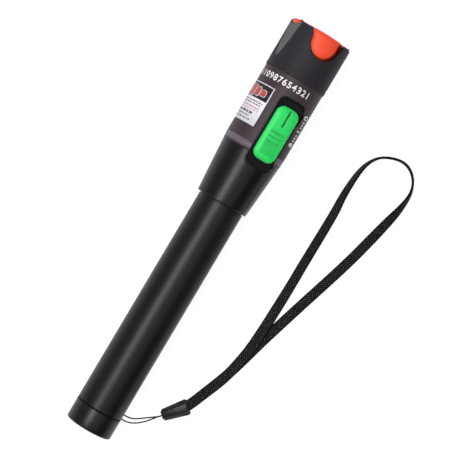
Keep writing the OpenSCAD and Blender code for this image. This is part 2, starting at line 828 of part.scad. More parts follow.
// Direction of a route at one of its points
function heading(route, i) =
    unit([for (k = [0 : 2]) route[min(i + 1, len(route) - 1)][k] - route[max(i - 1, 0)][k]]);

function shifted(p) = [p[0] - origin_x, p[1], p[2]];

// The strap lies on the surface at every turn about its own line
function strap_point(i) =
    let (p = strap_route[i])
    [p[0] - origin_x, p[1], p[2] + strap_w / 2 * abs(sin(p[3])) + strap_t / 2 * cos(p[3])];

function strap_ring(i) =
    let (
        h = heading(strap_route, i),
        side = unit([-h[1], h[0], 0]),
        turn = strap_route[i][3],
        across = side * cos(turn) - [0, 0, 1] * sin(turn),
        through = side * sin(turn) + [0, 0, 1] * cos(turn)
    )
    [for (s = strap_ring_shares)
        strap_point(i) + across * s[0] * strap_w / 2 + through * s[1] * strap_t / 2];

function cord_ring(i) =
    let (
        h = heading(cord_route, i),
        side = unit(cross([0, 0, 1], h)),
        up = cross(h, side)
    )
    [for (j = [0 : tube_side_n - 1])
        let (a = 360 * j / tube_side_n)
        shifted(cord_route[i]) + (side * cos(a) + up * sin(a)) * cord_d / 2];

module lanyard_cord() {
    color([0.05, 0.05, 0.05]) swept([for (i = [0 : len(cord_route) - 1]) cord_ring(i)]);
}

module wrist_strap() {
    color([0.09, 0.09, 0.09]) swept([for (i = [0 : len(strap_route) - 1]) strap_ring(i)]);
}

// Section of the clasp at one end, with its long edges bevelled
module clasp_section(w, h) {
    bevel = w * clasp_bevel_share;
    polygon([
        [-w / 2, 0], [w / 2, 0], [w / 2, h * (1 - clasp_bevel_share * 2)], [w / 2 - bevel, h],
        [bevel - w / 2, h], [-w / 2, h * (1 - clasp_bevel_share * 2)]
    ]);
}

module clasp_end(x, w, h) {
    translate([x, 0, 0]) rotate([90, 0, 90]) linear_extrude(knob_slice_t) clasp_section(w, h);
}

module cord_clasp() {
    tip_w = clasp_w * clasp_tip_share;
    tip_h = clasp_h * clasp_low_share;
    color([0.07, 0.07, 0.08]) translate([clasp_x - origin_x, clasp_y, 0]) rotate([0, 0, clasp_turn])
    difference() {
        hull() {
            clasp_end(0, tip_w - 2 * clasp_corner_c, tip_h - clasp_corner_c);
            clasp_end(clasp_corner_c, tip_w, tip_h);
            clasp_end(clasp_l - clasp_corner_c, clasp_w, clasp_h);
            clasp_end(clasp_l - knob_slice_t, clasp_w - clasp_corner_c, clasp_h - clasp_corner_c / 2);
        }
        translate([-cut, 0, tip_h / 2]) rotate([0, 90, 0])
            cylinder(h = clasp_hole_l + cut, d = clasp_tip_hole_d, $fn = small_fn);
        translate([clasp_l - clasp_mouth_l, -clasp_mouth_w / 2, clasp_mouth_z])
            cube([clasp_mouth_l + cut, clasp_mouth_w, clasp_mouth_h]);
    }
}

tail_cap();
seal_ring();
spring_seat();
tail_spring();
barrel();
battery_rear();
battery_front();
battery_contact();
head_housing();
printed_sleeve();
switch_bezel();
slide_knob();
switch_slider();
slide_switch();
driver_board();
board_components();
chassis();
laser_diode();
diode_holder();
focus_lens();
ferrule_holder();
port_neck();
ceramic_sleeve();
front_crown();
dust_cap();
cap_tongues();
lanyard_cord();
cord_clasp();
wrist_strap();
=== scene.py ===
"""Looks of a pen-shaped fibre fault locator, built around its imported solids."""
import json
from math import asin, atan, cos, pi, radians, sin, tau

import bmesh
import bpy
from mathutils import Matrix, Vector


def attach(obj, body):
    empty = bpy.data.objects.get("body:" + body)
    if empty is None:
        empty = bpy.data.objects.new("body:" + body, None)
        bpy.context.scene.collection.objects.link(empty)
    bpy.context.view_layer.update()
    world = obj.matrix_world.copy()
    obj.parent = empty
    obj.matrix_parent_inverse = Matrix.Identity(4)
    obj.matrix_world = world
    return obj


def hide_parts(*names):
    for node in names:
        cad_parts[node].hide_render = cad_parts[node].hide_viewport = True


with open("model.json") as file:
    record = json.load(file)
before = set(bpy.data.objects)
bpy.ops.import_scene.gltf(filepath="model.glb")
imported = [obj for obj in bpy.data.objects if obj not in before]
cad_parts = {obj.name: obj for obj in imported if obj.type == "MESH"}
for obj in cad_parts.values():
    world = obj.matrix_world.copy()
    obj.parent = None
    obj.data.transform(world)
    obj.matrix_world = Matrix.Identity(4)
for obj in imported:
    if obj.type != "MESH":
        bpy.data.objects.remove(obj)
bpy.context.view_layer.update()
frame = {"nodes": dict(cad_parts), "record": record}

# Pen frame: millimetres along the pen from its tail, to its side and up
MM = 0.001
record = frame["record"]
mounts = {mount["name"]: mount for mount in record["mounts"]}
BODY_OF = {name: body for body, names in record["behaviour"]["bodies"].items() for name in names}
TAIL = Vector(mounts["tail_end"]["pos_m"])
AXIS = Vector(mounts["ferrule_port"]["axis"])
SIDE = Vector((0, 1, 0))
RISE = AXIS.cross(SIDE)
PEN = Matrix.Translation(TAIL) @ Matrix((AXIS, SIDE, RISE)).transposed().to_4x4() @ Matrix.Scale(MM, 4)

# Places along the pen and radii of its shells, in millimetres
TAIL_CAP_L = 8.3
BARREL_X = 8.85
HOUSING_X = 100.05
CROWN_FRONT_X = 174.55
CROWN_TURN = radians(19)
POCKET_X = 132.55
TAPER_L = 26.4
TAPER_POWER = 1.15
BARREL_R = 9.4
COLLAR_R = 10.5
HEAD_R = 12.4

# Switch: its turn from the top of the pen, and its frame with the knob's direction up
ROLL = radians(23)
KNOB = PEN @ Matrix.Rotation(ROLL, 4, "X") @ Matrix.Translation((POCKET_X, 0, 0))
KNOB_TOP_R = 13.7
POCKET_HALF_W = 5.95


# Nodes of a shader tree
def node(tree, kind, inputs=None, **settings):
    made = tree.nodes.new(kind)
    for key, value in settings.items():
        setattr(made, key, value)
    for key, value in (inputs or {}).items():
        join(tree, value, made.inputs[key])
    return made


def join(tree, value, socket):
    if isinstance(value, bpy.types.NodeSocket):
        tree.links.new(value, socket)
    else:
        socket.default_value = value


def maths(tree, operation, *values):
    made = node(tree, "ShaderNodeMath", operation=operation)
    for socket, value in zip(made.inputs, values):
        join(tree, value, socket)
    return made.outputs[0]


def times(tree, first, *others):
    """The product of two or more values."""
    for other in others:
        first = maths(tree, "MULTIPLY", first, other)
    return first


def plus(tree, first, second):
    return maths(tree, "ADD", first, second)


def minus(tree, first, second):
    return maths(tree, "SUBTRACT", first, second)


def larger(tree, first, *others):
    """The largest of two or more values."""
    for other in others:
        first = maths(tree, "MAXIMUM", first, other)
    return first


def size_of(tree, value):
    return maths(tree, "ABSOLUTE", value)


def wave(tree, value):
    """Rises and falls between nothing and one, twice in each turn of the value in radians."""
    return size_of(tree, maths(tree, "SINE", value))


def above(tree, value, limit):
    """One where a value is above a limit, and otherwise nothing."""
    return maths(tree, "GREATER_THAN", value, limit)


def below(tree, value, limit):
    """One where a value is below a limit, and otherwise nothing."""
    return maths(tree, "LESS_THAN", value, limit)


def clamped(tree, value):
    return node(tree, "ShaderNodeClamp", {"Value": value}).outputs[0]


def fading(tree, value, start, rate):
    """Rises from nothing at a start to one, by a rate for each step of the value."""
    return clamped(tree, times(tree, minus(tree, value, start), rate))


def ramp(tree, fac, stops):
    made = node(tree, "ShaderNodeValToRGB", {"Fac": fac})
    points = made.color_ramp.elements
    while len(points) < len(stops):
        points.new(0.5)
    for point, (place, colour) in zip(points, stops):
        point.position = place
        point.color = colour if hasattr(colour, "__len__") else (colour, colour, colour, 1)
    return made.outputs["Color"]


def mixed(tree, fac, first, second):
    """A colour between two; sockets 6, 7 and 2 are the node's colours and its result."""
    made = node(tree, "ShaderNodeMix", data_type="RGBA")
    join(tree, fac, made.inputs[0])
    join(tree, first, made.inputs[6])
    join(tree, second, made.inputs[7])
    return made.outputs[2]


def object_place(tree):
    return node(tree, "ShaderNodeTexCoord").outputs["Object"]


def noise(tree, place, scale, detail=4, roughness=0.6):
    inputs = {"Vector": place, "Scale": scale, "Detail": detail, "Roughness": roughness}
    return node(tree, "ShaderNodeTexNoise", inputs).outputs["Fac"]


# Shared effects, each a node group
COARSE_GRAIN = 0.31
SPECK_GRAIN = 2600.0
SPECK_LEVEL = 0.74
EDGE_GRAIN = 900.0
EDGE_SHARPNESS = 6.0
SCRATCH_GRAIN = (2600, 140, 140)
SCRATCH_TURN = (0.4, 0.2, 0.15)
SCRATCH_LEVEL = 0.7


def new_group(name, inputs, *outputs):
    """A group of nodes whose inputs and outputs are numbers, but for a normal."""
    group = bpy.data.node_groups.new(name, "ShaderNodeTree")
    for label, default in inputs.items():
        made = group.interface.new_socket(label, in_out="INPUT", socket_type="NodeSocketFloat")
        made.default_value = default
    for label in outputs:
        kind = "NodeSocketVector" if label == "Normal" else "NodeSocketFloat"
        group.interface.new_socket(label, in_out="OUTPUT", socket_type=kind)
    return group, group.nodes.new("NodeGroupInput").outputs, group.nodes.new("NodeGroupOutput").inputs


def dot_product(tree, first, second):
    made = node(tree, "ShaderNodeVectorMath", {0: first, 1: second}, operation="DOT_PRODUCT")
    return made.outputs["Value"]


def place_in(group, origin, directions):
    """A point's place in millimetres along three directions from an origin."""
    ends = {0: object_place(group), 1: origin}
    shifted = node(group, "ShaderNodeVectorMath", ends, operation="SUBTRACT").outputs[0]
    return [dot_product(group, shifted, direction / MM) for direction in directions]


def pen_place_group():
    """Gives a point's place along the pen in millimetres, its turn in radians and its radius."""
    group, _, out = new_group("pen place", {}, "Along", "Turn", "Out")
    parts = place_in(group, TAIL, (AXIS, SIDE, RISE))
    join(group, parts[0], out["Along"])
    join(group, maths(group, "ARCTAN2", times(group, parts[1], -1.0), parts[2]), out["Turn"])
    squares = [maths(group, "POWER", part, 2.0) for part in parts[1:]]
    join(group, maths(group, "SQRT", plus(group, *squares)), out["Out"])
    return group


def knob_place_group():
    """Gives a point's place in the knob's frame in millimetres."""
    group, _, out = new_group("knob place", {}, "Along", "Across", "Up")
    directions = [KNOB.col[k].to_3d().normalized() for k in range(3)]
    for part, label in zip(place_in(group, KNOB.translation, directions), ("Along", "Across", "Up")):
        join(group, part, out[label])
    return group


def blast_group():
    """Fine blasted grain with a slow cloud over it, for metal and moulded skins."""
    group, given, out = new_group("blasted grain", {"Grain": 9000.0, "Cloud": 60.0},
                                  "Height", "Cloud", "Speck")
    place = object_place(group)
    fine = noise(group, place, given["Grain"], 2, 0.7)
    coarse = noise(group, place, times(group, given["Grain"], COARSE_GRAIN), 3, 0.5)
    specks = noise(group, place, SPECK_GRAIN, 1, 0.4)
    join(group, plus(group, times(group, fine, 0.6), times(group, coarse, 0.4)), out["Height"])
    join(group, noise(group, place, given["Cloud"], 3, 0.55), out["Cloud"])
    join(group, above(group, specks, SPECK_LEVEL), out["Speck"])
    return group


def edge_wear_and_highlight_group():
    """Masks the edges that hands and pockets wear pale, broken up by noise, and rounds their normals; on
    the knob the same mask carries a painted highlight.
    """
    group, given, out = new_group("edge wear and highlight", {"Reach": 0.00018, "Amount": 0.6}, "Mask", "Normal")
    round_normal = node(group, "ShaderNodeBevel", {"Radius": given["Reach"]}, samples=6).outputs["Normal"]
    true_normal = node(group, "ShaderNodeNewGeometry").outputs["True Normal"]
    edge = times(group, minus(group, 1.0, dot_product(group, round_normal, true_normal)), EDGE_SHARPNESS)
    broken = times(group, edge, noise(group, object_place(group), EDGE_GRAIN, 4, 0.7))
    join(group, clamped(group, times(group, broken, given["Amount"])), out["Mask"])
    join(group, round_normal, out["Normal"])
    return group


def scratch_group():
    """Hair scratches that run mostly round the pen."""
    group, given, out = new_group("hair scratches", {"Density": 0.5}, "Mask")
    stretched = node(group, "ShaderNodeMapping", {"Vector": object_place(group)})
    stretched.inputs["Scale"].default_value = SCRATCH_GRAIN
    stretched.inputs["Rotation"].default_value = SCRATCH_TURN
    lines = noise(group, stretched.outputs[0], 1.0, 2, 0.4)
    patches = noise(group, object_place(group), 45.0, 2, 0.5)
    join(group, times(group, above(group, lines, SCRATCH_LEVEL), patches, given["Density"]), out["Mask"])
    return group


PEN_PLACE = pen_place_group()
KNOB_PLACE = knob_place_group()
BLAST = blast_group()
EDGE_WEAR_AND_HIGHLIGHT = edge_wear_and_highlight_group()
SCRATCH = scratch_group()


def placed(tree, group, **inputs):
    made = node(tree, "ShaderNodeGroup", node_tree=group)
    for label, value in inputs.items():
        join(tree, value, made.inputs[label])
    return made.outputs


def bump(tree, height, distance, strength=1.0, normal=None):
    inputs = {"Height": height, "Distance": distance, "Strength": strength}
    if normal is not None:
        inputs["Normal"] = normal
    return node(tree, "ShaderNodeBump", inputs).outputs["Normal"]


def new_material(name):
    """A material and its node tree."""
    material = bpy.data.materials.new(name)
    material.use_nodes = True
    return material, material.node_tree


def shaded(material, inputs):
    """Fills inputs of a material's shader from nodes or values, and gives the material back."""
    tree = material.node_tree
    for label, value in inputs.items():
        join(tree, value, tree.nodes["Principled BSDF"].inputs[label])
    return material


def opaque(colour):
    return tuple(colour) + (1,)


def clouded(tree, cloud, start, end, dark, light):
    """Runs from a dark to a light colour with a slow cloud."""
    return ramp(tree, cloud, [(start, opaque(dark)), (end, opaque(light))])


def grained(tree, height, roughness, swing):
    """A roughness that swings a little with a grain's height."""
    return plus(tree, roughness - swing / 2, times(tree, height, swing))


# Milled flats of the crown: how they lie, and the fine lines on them
FLAT_L = 15.7
FLAT_FALL = 0.55
FLAT_TURN = CROWN_TURN - radians(77.5)
FLAT_RISE = atan(FLAT_FALL / FLAT_L)
FLAT_OUT = RISE * cos(FLAT_TURN) - SIDE * sin(FLAT_TURN)
FLAT_NORMAL = AXIS * sin(FLAT_RISE) + FLAT_OUT * cos(FLAT_RISE)
FLAT_FACING = cos(radians(0.8))
FLAT_X = CROWN_FRONT_X - FLAT_L
FLAT_LINES = 90.0
LINE_DEPTH = 0.35

# Painted shade on the skirt of the dust cap and in the hollows of the knob: its flat, grooves and slot,
# in millimetres
SKIRT_R = 11.2
SKIRT_GAP = 0.3
KNOB_FLAT_W = 2.8
KNOB_FLAT_L = 8.4
KNOB_FALL = 0.32
GROOVE_W = 3.6
GROOVE_SHADE = 0.3
SLOT_W = 0.6
SLOT_END = 10.6
SLOT_SHADE = 0.85
WALL_DEPTH = 1.6
# Depths where the shades start, and how fast they grow with each millimetre
SKIN_DEPTH = 0.05
GROOVE_RATE = 6.0
SLOT_DEPTH = 0.32
SLOT_RATE = 2.5
WALL_RATE = 6.0

# Finishes, each a detailed material
RUBBED_METAL = (0.075, 0.073, 0.078, 1)


def milled_flat_mask(tree):
    """One on the crown's milled flats, with fine lines along the pen."""
    place = placed(tree, PEN_PLACE)
    facing = dot_product(tree, node(tree, "ShaderNodeNewGeometry").outputs["True Normal"], FLAT_NORMAL)
    on_flat = above(tree, size_of(tree, facing), FLAT_FACING)
    ahead = above(tree, place["Along"], FLAT_X)
    lines = maths(tree, "SINE", times(tree, place["Turn"], FLAT_LINES))
    shade = plus(tree, 1 - LINE_DEPTH, times(tree, lines, LINE_DEPTH))
    return times(tree, shade, on_flat, ahead)


def blasted_metal(name, dark, light, roughness, grain=9000.0, gloss=0.3, milled=None):
    """Black anodised aluminium: blasted grain, faint scratches and paler rubbed edges."""
    material, tree = new_material(name)
    blast = placed(tree, BLAST, Grain=grain)
    scratch = placed(tree, SCRATCH, Density=0.5)["Mask"]
    edge_effect = placed(tree, EDGE_WEAR_AND_HIGHLIGHT)
    colour = mixed(tree, edge_effect["Mask"], clouded(tree, blast["Cloud"], 0.3, 0.75, dark, light), RUBBED_METAL)
    if milled:
        colour = mixed(tree, milled_flat_mask(tree), colour, opaque(milled))
    rough = grained(tree, blast["Height"], roughness, 0.1)
    return shaded(material, {
        "Base Color": mixed(tree, times(tree, scratch, 0.2), colour, RUBBED_METAL),
        "Roughness": minus(tree, rough, times(tree, scratch, 0.08)),
        "Normal": bump(tree, blast["Height"], 0.000008, normal=edge_effect["Normal"]),
        "Specular IOR Level": gloss, "Specular Tint": (1, 0.95, 0.97, 1)})


def moulded(name, dark, light, roughness, grain=5000.0, clear=0.0, glow=0.0, reach=0.0002, edge_wear_and_highlight=None,
            painted_shade=None, shade_mask=None, gloss=0.5):
    """Moulded plastic, film or rubber with a fine skin, a slow colour cloud, paler edges that are worn
    and on the knob a painted highlight, and painted shade where a mask is given.
    """
    material, tree = new_material(name)
    blast = placed(tree, BLAST, Grain=grain, Cloud=90.0)
    edge_effect = placed(tree, EDGE_WEAR_AND_HIGHLIGHT, Amount=0.5, Reach=reach)
    pale = edge_wear_and_highlight or tuple(min(1, part * 1.25 + 0.01) for part in light)
    # Paler edges: wear, and on the knob a painted highlight
    colour = mixed(tree, edge_effect["Mask"], clouded(tree, blast["Cloud"], 0.3, 0.7, dark, light), opaque(pale))
    # Painted shade where the shade mask is given
    if painted_shade:
        colour = mixed(tree, shade_mask(tree), colour, opaque(painted_shade))
    return shaded(material, {
        "Base Color": colour, "Roughness": grained(tree, blast["Height"], roughness, 0.12),
        "Normal": bump(tree, blast["Height"], 0.000008, normal=edge_effect["Normal"]),
        "Specular IOR Level": gloss, "Coat Weight": clear, "Coat Roughness": 0.2,
        "Subsurface Weight": glow, "Subsurface Scale": 0.0008,
        "Subsurface Radius": tuple(0.3 + 0.7 * part for part in light)})


def skirt_painted_shade_mask(tree):
    """One on the dust cap's skirt and inside, for a painted shade as if the crown's notch walls shadow
    them.
    """
    place = placed(tree, PEN_PLACE)
    behind_front = below(tree, place["Along"], CROWN_FRONT_X - SKIRT_GAP)
    return times(tree, below(tree, place["Out"], SKIRT_R), behind_front)


def knob_painted_shade_mask(tree):
    """Painted shade that grows with the depth under the knob's skin, in its slot, grooves and pad and low
    on its walls.
    """
    place = placed(tree, KNOB_PLACE)
    across = size_of(tree, place["Across"])
    fall = times(tree, larger(tree, minus(tree, across, KNOB_FLAT_W), 0.0), KNOB_FALL)
    depth = minus(tree, minus(tree, KNOB_TOP_R, fall), place["Up"])
    on_flat = times(tree, below(tree, across, GROOVE_W),
                    below(tree, size_of(tree, place["Along"]), KNOB_FLAT_L))
    grooves = times(tree, on_flat, fading(tree, depth, SKIN_DEPTH, GROOVE_RATE), GROOVE_SHADE)
    in_slot = times(tree, below(tree, across, SLOT_W), above(tree, place["Along"], 0.0),
                    below(tree, place["Along"], SLOT_END))
    slot = times(tree, in_slot, fading(tree, depth, SLOT_DEPTH, SLOT_RATE), SLOT_SHADE)
    below_wall = minus(tree, KNOB_TOP_R - WALL_DEPTH, place["Up"])
    walls = clamped(tree, times(tree, below_wall, WALL_RATE))
    return larger(tree, grooves, slot, walls)


def turned_metal(name, colour, roughness, pitch=9.0):
    """Bright metal from a lathe, with rings round the pen and a slight stain."""
    material, tree = new_material(name)
    place = placed(tree, PEN_PLACE)
    blast = placed(tree, BLAST, Grain=6000.0, Cloud=240.0)
    rings = wave(tree, times(tree, plus(tree, place["Along"], place["Out"]), pitch))
    stained = [part * 0.75 for part in colour]
    return shaded(material, {
        "Base Color": mixed(tree, blast["Cloud"], opaque(stained), opaque(colour)),
        "Roughness": plus(tree, roughness, times(tree, rings, 0.1)),
        "Normal": bump(tree, rings, 0.00001, 0.6), "Metallic": 1.0})


def map_place(tree, name):
    """A point's place on a mesh's own map, whole and in its parts."""
    place = node(tree, "ShaderNodeUVMap", uv_map=name).outputs["UV"]
    return place, node(tree, "ShaderNodeSeparateXYZ", {"Vector": place}).outputs


def woven(name):
    """Braided strap from its own map: slanted yarns, paler flecks and dark selvedges."""
    material, tree = new_material(name)
    place, parts = map_place(tree, "strap")
    along = maths(tree, "DIVIDE", parts["X"], BRAID_L)
    across = maths(tree, "DIVIDE", parts["Y"], BRAID_W)
    ways = (plus(tree, along, across), minus(tree, along, across))
    hump = times(tree, *[wave(tree, times(tree, way, pi)) for way in ways])
    cell = plus(tree, *[maths(tree, "FLOOR", way) for way in ways])
    lean = mixed(tree, size_of(tree, maths(tree, "MODULO", cell, 2.0)), (1, 1, 1, 1), (0, 0, 0, 1))
    fibre = mixed(tree, lean, *[maths(tree, "SINE", times(tree, way, YARN_FIBRES)) for way in ways])
    fleck = ramp(tree, noise(tree, place, FLECK_GRAIN, 3, 0.7), [(0.4, 0.3), (0.66, 1.0)])
    yarn = ramp(tree, times(tree, maths(tree, "POWER", hump, 1.3), fleck), YARN_COLOURS)
    selvedge = above(tree, size_of(tree, parts["Y"]), STRAP_W / 2 - SELVEDGE_W)
    return shaded(material, {
        "Base Color": mixed(tree, selvedge, yarn, SELVEDGE_COLOUR), "Roughness": 0.75,
        "Normal": bump(tree, fibre, 0.00003, 0.5), "Specular IOR Level": 0.2})


def twisted(name):
    """Thin laid cord with fibres that follow its plies."""
    material, tree = new_material(name)
    _, parts = map_place(tree, "cord")
    fibre = wave(tree, plus(tree, times(tree, parts["X"], 9.0), times(tree, parts["Y"], 24.0)))
    return shaded(material, {
        "Base Color": ramp(tree, fibre, CORD_COLOURS), "Roughness": 0.6,
        "Normal": bump(tree, fibre, 0.00002), "Specular IOR Level": 0.15})


def lens_glass(name):
    """Clear glass with a few faint specks."""
    material, tree = new_material(name)
    speck = placed(tree, BLAST)["Speck"]
    return shaded(material, {
        "Base Color": mixed(tree, speck, (0.93, 0.97, 1, 1), (0.8, 0.86, 0.9, 1)),
        "Roughness": times(tree, speck, 0.1), "Transmission Weight": 1.0, "IOR": 1.52})


def circuit_board(name):
    """Green solder mask over a grid of copper tracks."""
    material, tree = new_material(name)
    cells = node(tree, "ShaderNodeTexBrick", {
        "Vector": object_place(tree), "Scale": 260.0, "Mortar Size": 0.03, "Color1": (0, 0, 0, 1),
        "Color2": (1, 1, 1, 1), "Mortar": (0.5, 0.5, 0.5, 1)}).outputs["Color"]
    mask = mixed(tree, placed(tree, BLAST)["Cloud"], (0.01, 0.1, 0.04, 1), (0.02, 0.17, 0.07, 1))
    return shaded(material, {
        "Base Color": mixed(tree, times(tree, cells, 0.35), mask, (0.08, 0.32, 0.12, 1)),
        "Normal": bump(tree, cells, 0.00003), "Roughness": 0.35})


def printed(name, colour, roughness=0.5, gloss=0.5):
    """Screen-printed ink with a slightly uneven film; the same finish makes the painted shadow and
    highlight films at the switch's pocket.
    """
    material, tree = new_material(name)
    blast = placed(tree, BLAST, Grain=7000.0, Cloud=400.0)
    worn = [part * 0.86 for part in colour]
    return shaded(material, {
        "Base Color": mixed(tree, blast["Cloud"], opaque(worn), opaque(colour)),
        "Roughness": grained(tree, blast["Height"], roughness, 0.1),
        "Normal": bump(tree, blast["Height"], 0.000005), "Specular IOR Level": gloss})


# Strap: its section and the pitch of its braid along and across it, in millimetres
STRAP_W = 4.1
STRAP_T = 1.0
BRAID_L = 1.25
BRAID_W = 1.02
BRAID_DEPTH = 0.13
BRAID_POWER = 0.6
STRAP_STEPS = 34
STRAP_SIDES = 44
SELVEDGE_W = 0.4
SELVEDGE_COLOUR = (0.0015, 0.0015, 0.002, 1)
YARN_FIBRES = 34.0
YARN_COLOURS = [(0.0, (0.002, 0.002, 0.0025, 1)), (0.45, (0.011, 0.011, 0.012, 1)),
                (0.85, (0.2, 0.2, 0.215, 1))]
FLECK_GRAIN = 1.9
# Rows are x, y, lift over the surface and turn about the strap's own line
STRAP_ROUTE = [
    (23.9, -27.4, 1.5, 0), (26.7, -29.1, 1.5, 0), (31.4, -31.1, 1.35, 0), (43.2, -35.6, 1.15, 0),
    (54.8, -38, 1.15, 0), (64.6, -38.8, 1.1, 4), (74.2, -39.1, 0.5, 12), (84, -39.3, 0, 22),
    (96, -39.3, 0, 28), (108, -39.4, 0, 32), (118.9, -39.4, 0, 38), (126.5, -39, 0, 52),
    (133.9, -39.2, 0, 62), (139.3, -39.9, 0, 72), (143.4, -41.4, 0, 82), (146.4, -43.8, 0, 88),
    (148.4, -47.3, 0, 90), (149.4, -51.3, 0, 90), (148.9, -54.8, 0, 90), (146.9, -57.8, 0, 88),
    (143.7, -60, 0, 84), (139.2, -61, 0, 74), (133, -60.4, 0, 52), (126.5, -59, 0, 28),
    (117, -56.8, 0, 8), (107, -54.3, 0, 0), (96, -51.1, 0, 0), (84, -47.4, 0, 0),
    (73, -44.1, 0, 0), (62.1, -40.9, 0, 0), (52.4, -38.3, 0, 0), (43, -35.5, 0, 0),
    (31.4, -31.1, 0.15, 0), (26.7, -29.1, 0.3, 0), (23.9, -27.4, 0.3, 0)
]

# Thin cord: three laid plies from the clasp through the eyelet and back
CORD_D = 0.56
CORD_PLIES = 3
PLY_DEPTH = 0.2
CORD_LAY = 1.6
CORD_STEPS = 10
CORD_SIDES = 18
CORD_COLOURS = [(0.1, (0.001, 0.001, 0.001, 1)), (1.0, (0.004, 0.004, 0.0045, 1))]
CORD_ROUTE = [
    (19.8, -23.95, 1.72), (18.3, -22.7, 1.72), (17, -21.55, 1.68), (15.7, -20, 1.4), (14.2, -18, 1),
    (12.7, -16, 1.1), (11.6, -14.2, 2.2), (11, -12.7, 4.2), (10.9, -11.4, 6.2), (10.95, -10.4, 7.5),
    (11, -9.5, 7.95), (10.98, -8.9, 8.06), (10.8, -8.5, 8.12), (10.3, -8.4, 8.13), (9.8, -8.4, 8.12),
    (9.44, -8.45, 8.11), (9.2, -8.85, 8.02), (9.18, -9.45, 7.92), (9.1, -10.4, 7.3), (9, -11.5, 5.6),
    (9.1, -12.8, 3.5), (9.6, -14.3, 1.6), (10.7, -16, 0.6), (12.3, -17.8, 0.4), (14.1, -19.3, 0.45),
    (15.7, -20.5, 0.75), (17, -21.6, 1.03), (18.3, -22.7, 1.06), (19.8, -23.95, 1.06)
]


def smooth_route(route, steps):
    """Points of a smooth curve through a route's points, each as long as its rows."""
    rows = [route[0]] + list(route) + [route[-1]]
    points = []
    for group in zip(rows, rows[1:], rows[2:], rows[3:]):
        for k in range(steps):
            points.append([smooth_part(k / steps, *parts) for parts in zip(*group)])
    points.append(list(route[-1]))
    return points


def smooth_part(t, before, start, end, after):
    """One number's value at a part of the way from its start to its end, smoothed by its neighbours."""
    bend = 2 * before - 5 * start + 4 * end - after
    twist = 3 * start - before - 3 * end + after
    return 0.5 * (2 * start + (end - before) * t + bend * t ** 2 + twist * t ** 3)


def on_surface(x, y, z):
    """The shared frame's point for a place in millimetres, counted from below the tail's end."""
    return Vector((TAIL.x + x * MM, y * MM, z * MM))


def headings(points):
    ends = [points[0]] + points + [points[-1]]
    return [(after - before).normalized() for before, after in zip(ends, ends[2:])]


def lengths_along(points):
    """How far along a line each of its points is, in millimetres."""
    along = [0.0]
    for before, after in zip(points, points[1:]):
        along.append(along[-1] + (after - before).length / MM)
    return along


def facing_out(bm):
    bmesh.ops.recalc_face_normals(bm, faces=bm.faces)
    return bm


def skin_rings(rings, name, places):
    """Joins rings of points into a closed tube, with a map of its place along and round it."""
    bm = bmesh.new()
    layer = bm.loops.layers.uv.new(name)
    loops = [[bm.verts.new(point) for point in ring] for ring in rings]
    n = len(loops[0])
    for i in range(len(loops) - 1):
        for j in range(n):
            k = (j + 1) % n
            face = bm.faces.new((loops[i][j], loops[i][k], loops[i + 1][k], loops[i + 1][j]))
            corners = ((i, j), (i, j + 1), (i + 1, j + 1), (i + 1, j))
            for loop, corner in zip(face.loops, corners):
                loop[layer].uv = places(*corner)
    bm.faces.new(reversed(loops[0]))
    bm.faces.new(loops[-1])
    return facing_out(bm)


def mesh_of(name, bm):
    """A mesh of a bmesh's shape; the bmesh is freed."""
    mesh = bpy.data.meshes.new(name)
    bm.to_mesh(mesh)
    bm.free()
    return mesh


def put_in_scene(name, data):
    made = bpy.data.objects.new(name, data)
    bpy.context.scene.collection.objects.link(made)
    return made


def finish_piece(name, bm, body, material, replaced=(), sharp=35, modifiers=()):
    mesh = mesh_of(name, bm)
    mesh.shade_smooth()
    mesh.set_sharp_from_angle(angle=radians(sharp))
    mesh.materials.append(material)
    piece = put_in_scene(name, mesh)
    for kind, settings in modifiers:
        made = piece.modifiers.new(kind.title(), kind)
        for key, value in settings.items():
            setattr(made, key, value)
    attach(piece, body)
    if replaced:
        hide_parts(*replaced)
    return piece


def strap_section():
    """Flat section with round edges: places across and through the strap, evenly spaced."""
    half, r = STRAP_W / 2, STRAP_T / 2
    flat = 2 * (half - r)
    total = 2 * flat + tau * r
    points = []
    for j in range(STRAP_SIDES):
        s = total * j / STRAP_SIDES
        if s < flat:
            points.append((flat / 2 - s, r))
        elif s < flat + pi * r:
            a = (s - flat) / r
            points.append((-flat / 2 - r * sin(a), r * cos(a)))
        elif s < 2 * flat + pi * r:
            points.append((-flat / 2 + s - flat - pi * r, -r))
        else:
            a = (s - 2 * flat - pi * r) / r
            points.append((flat / 2 + r * sin(a), -r * cos(a)))
    return points


def braid_height(along, across):
    down = along / BRAID_L + across / BRAID_W
    up = along / BRAID_L - across / BRAID_W
    return BRAID_DEPTH * (abs(sin(pi * down) * sin(pi * up)) ** BRAID_POWER - 1)


def make_strap():
    rows = smooth_route(STRAP_ROUTE, STRAP_STEPS)
    section = strap_section()
    turns = [radians(max(0, row[3])) for row in rows]
    centres = [
        on_surface(x, y, max(0, lift) + STRAP_W / 2 * abs(sin(turn)) + STRAP_T / 2 * cos(turn))
        for (x, y, lift, _), turn in zip(rows, turns)]
    along = lengths_along(centres)
    rings = []
    for centre, heading, turn, s in zip(centres, headings(centres), turns, along):
        side = Vector((-heading.y, heading.x, 0)).normalized()
        across = side * cos(turn) - Vector((0, 0, sin(turn)))
        through = side * sin(turn) + Vector((0, 0, cos(turn)))
        ring = []
        for v, w in section:
            deep = 1 + braid_height(s, v) / (STRAP_T / 2)
            ring.append(centre + (across * v + through * w * deep) * MM)
        rings.append(ring)
    bm = skin_rings(rings, "strap", lambda i, j: (along[i], section[j % STRAP_SIDES][0]))
    strap = finish_piece("braided_strap", bm, "pen_body", STRAP_CLOTH, ["wrist_strap"], 60)


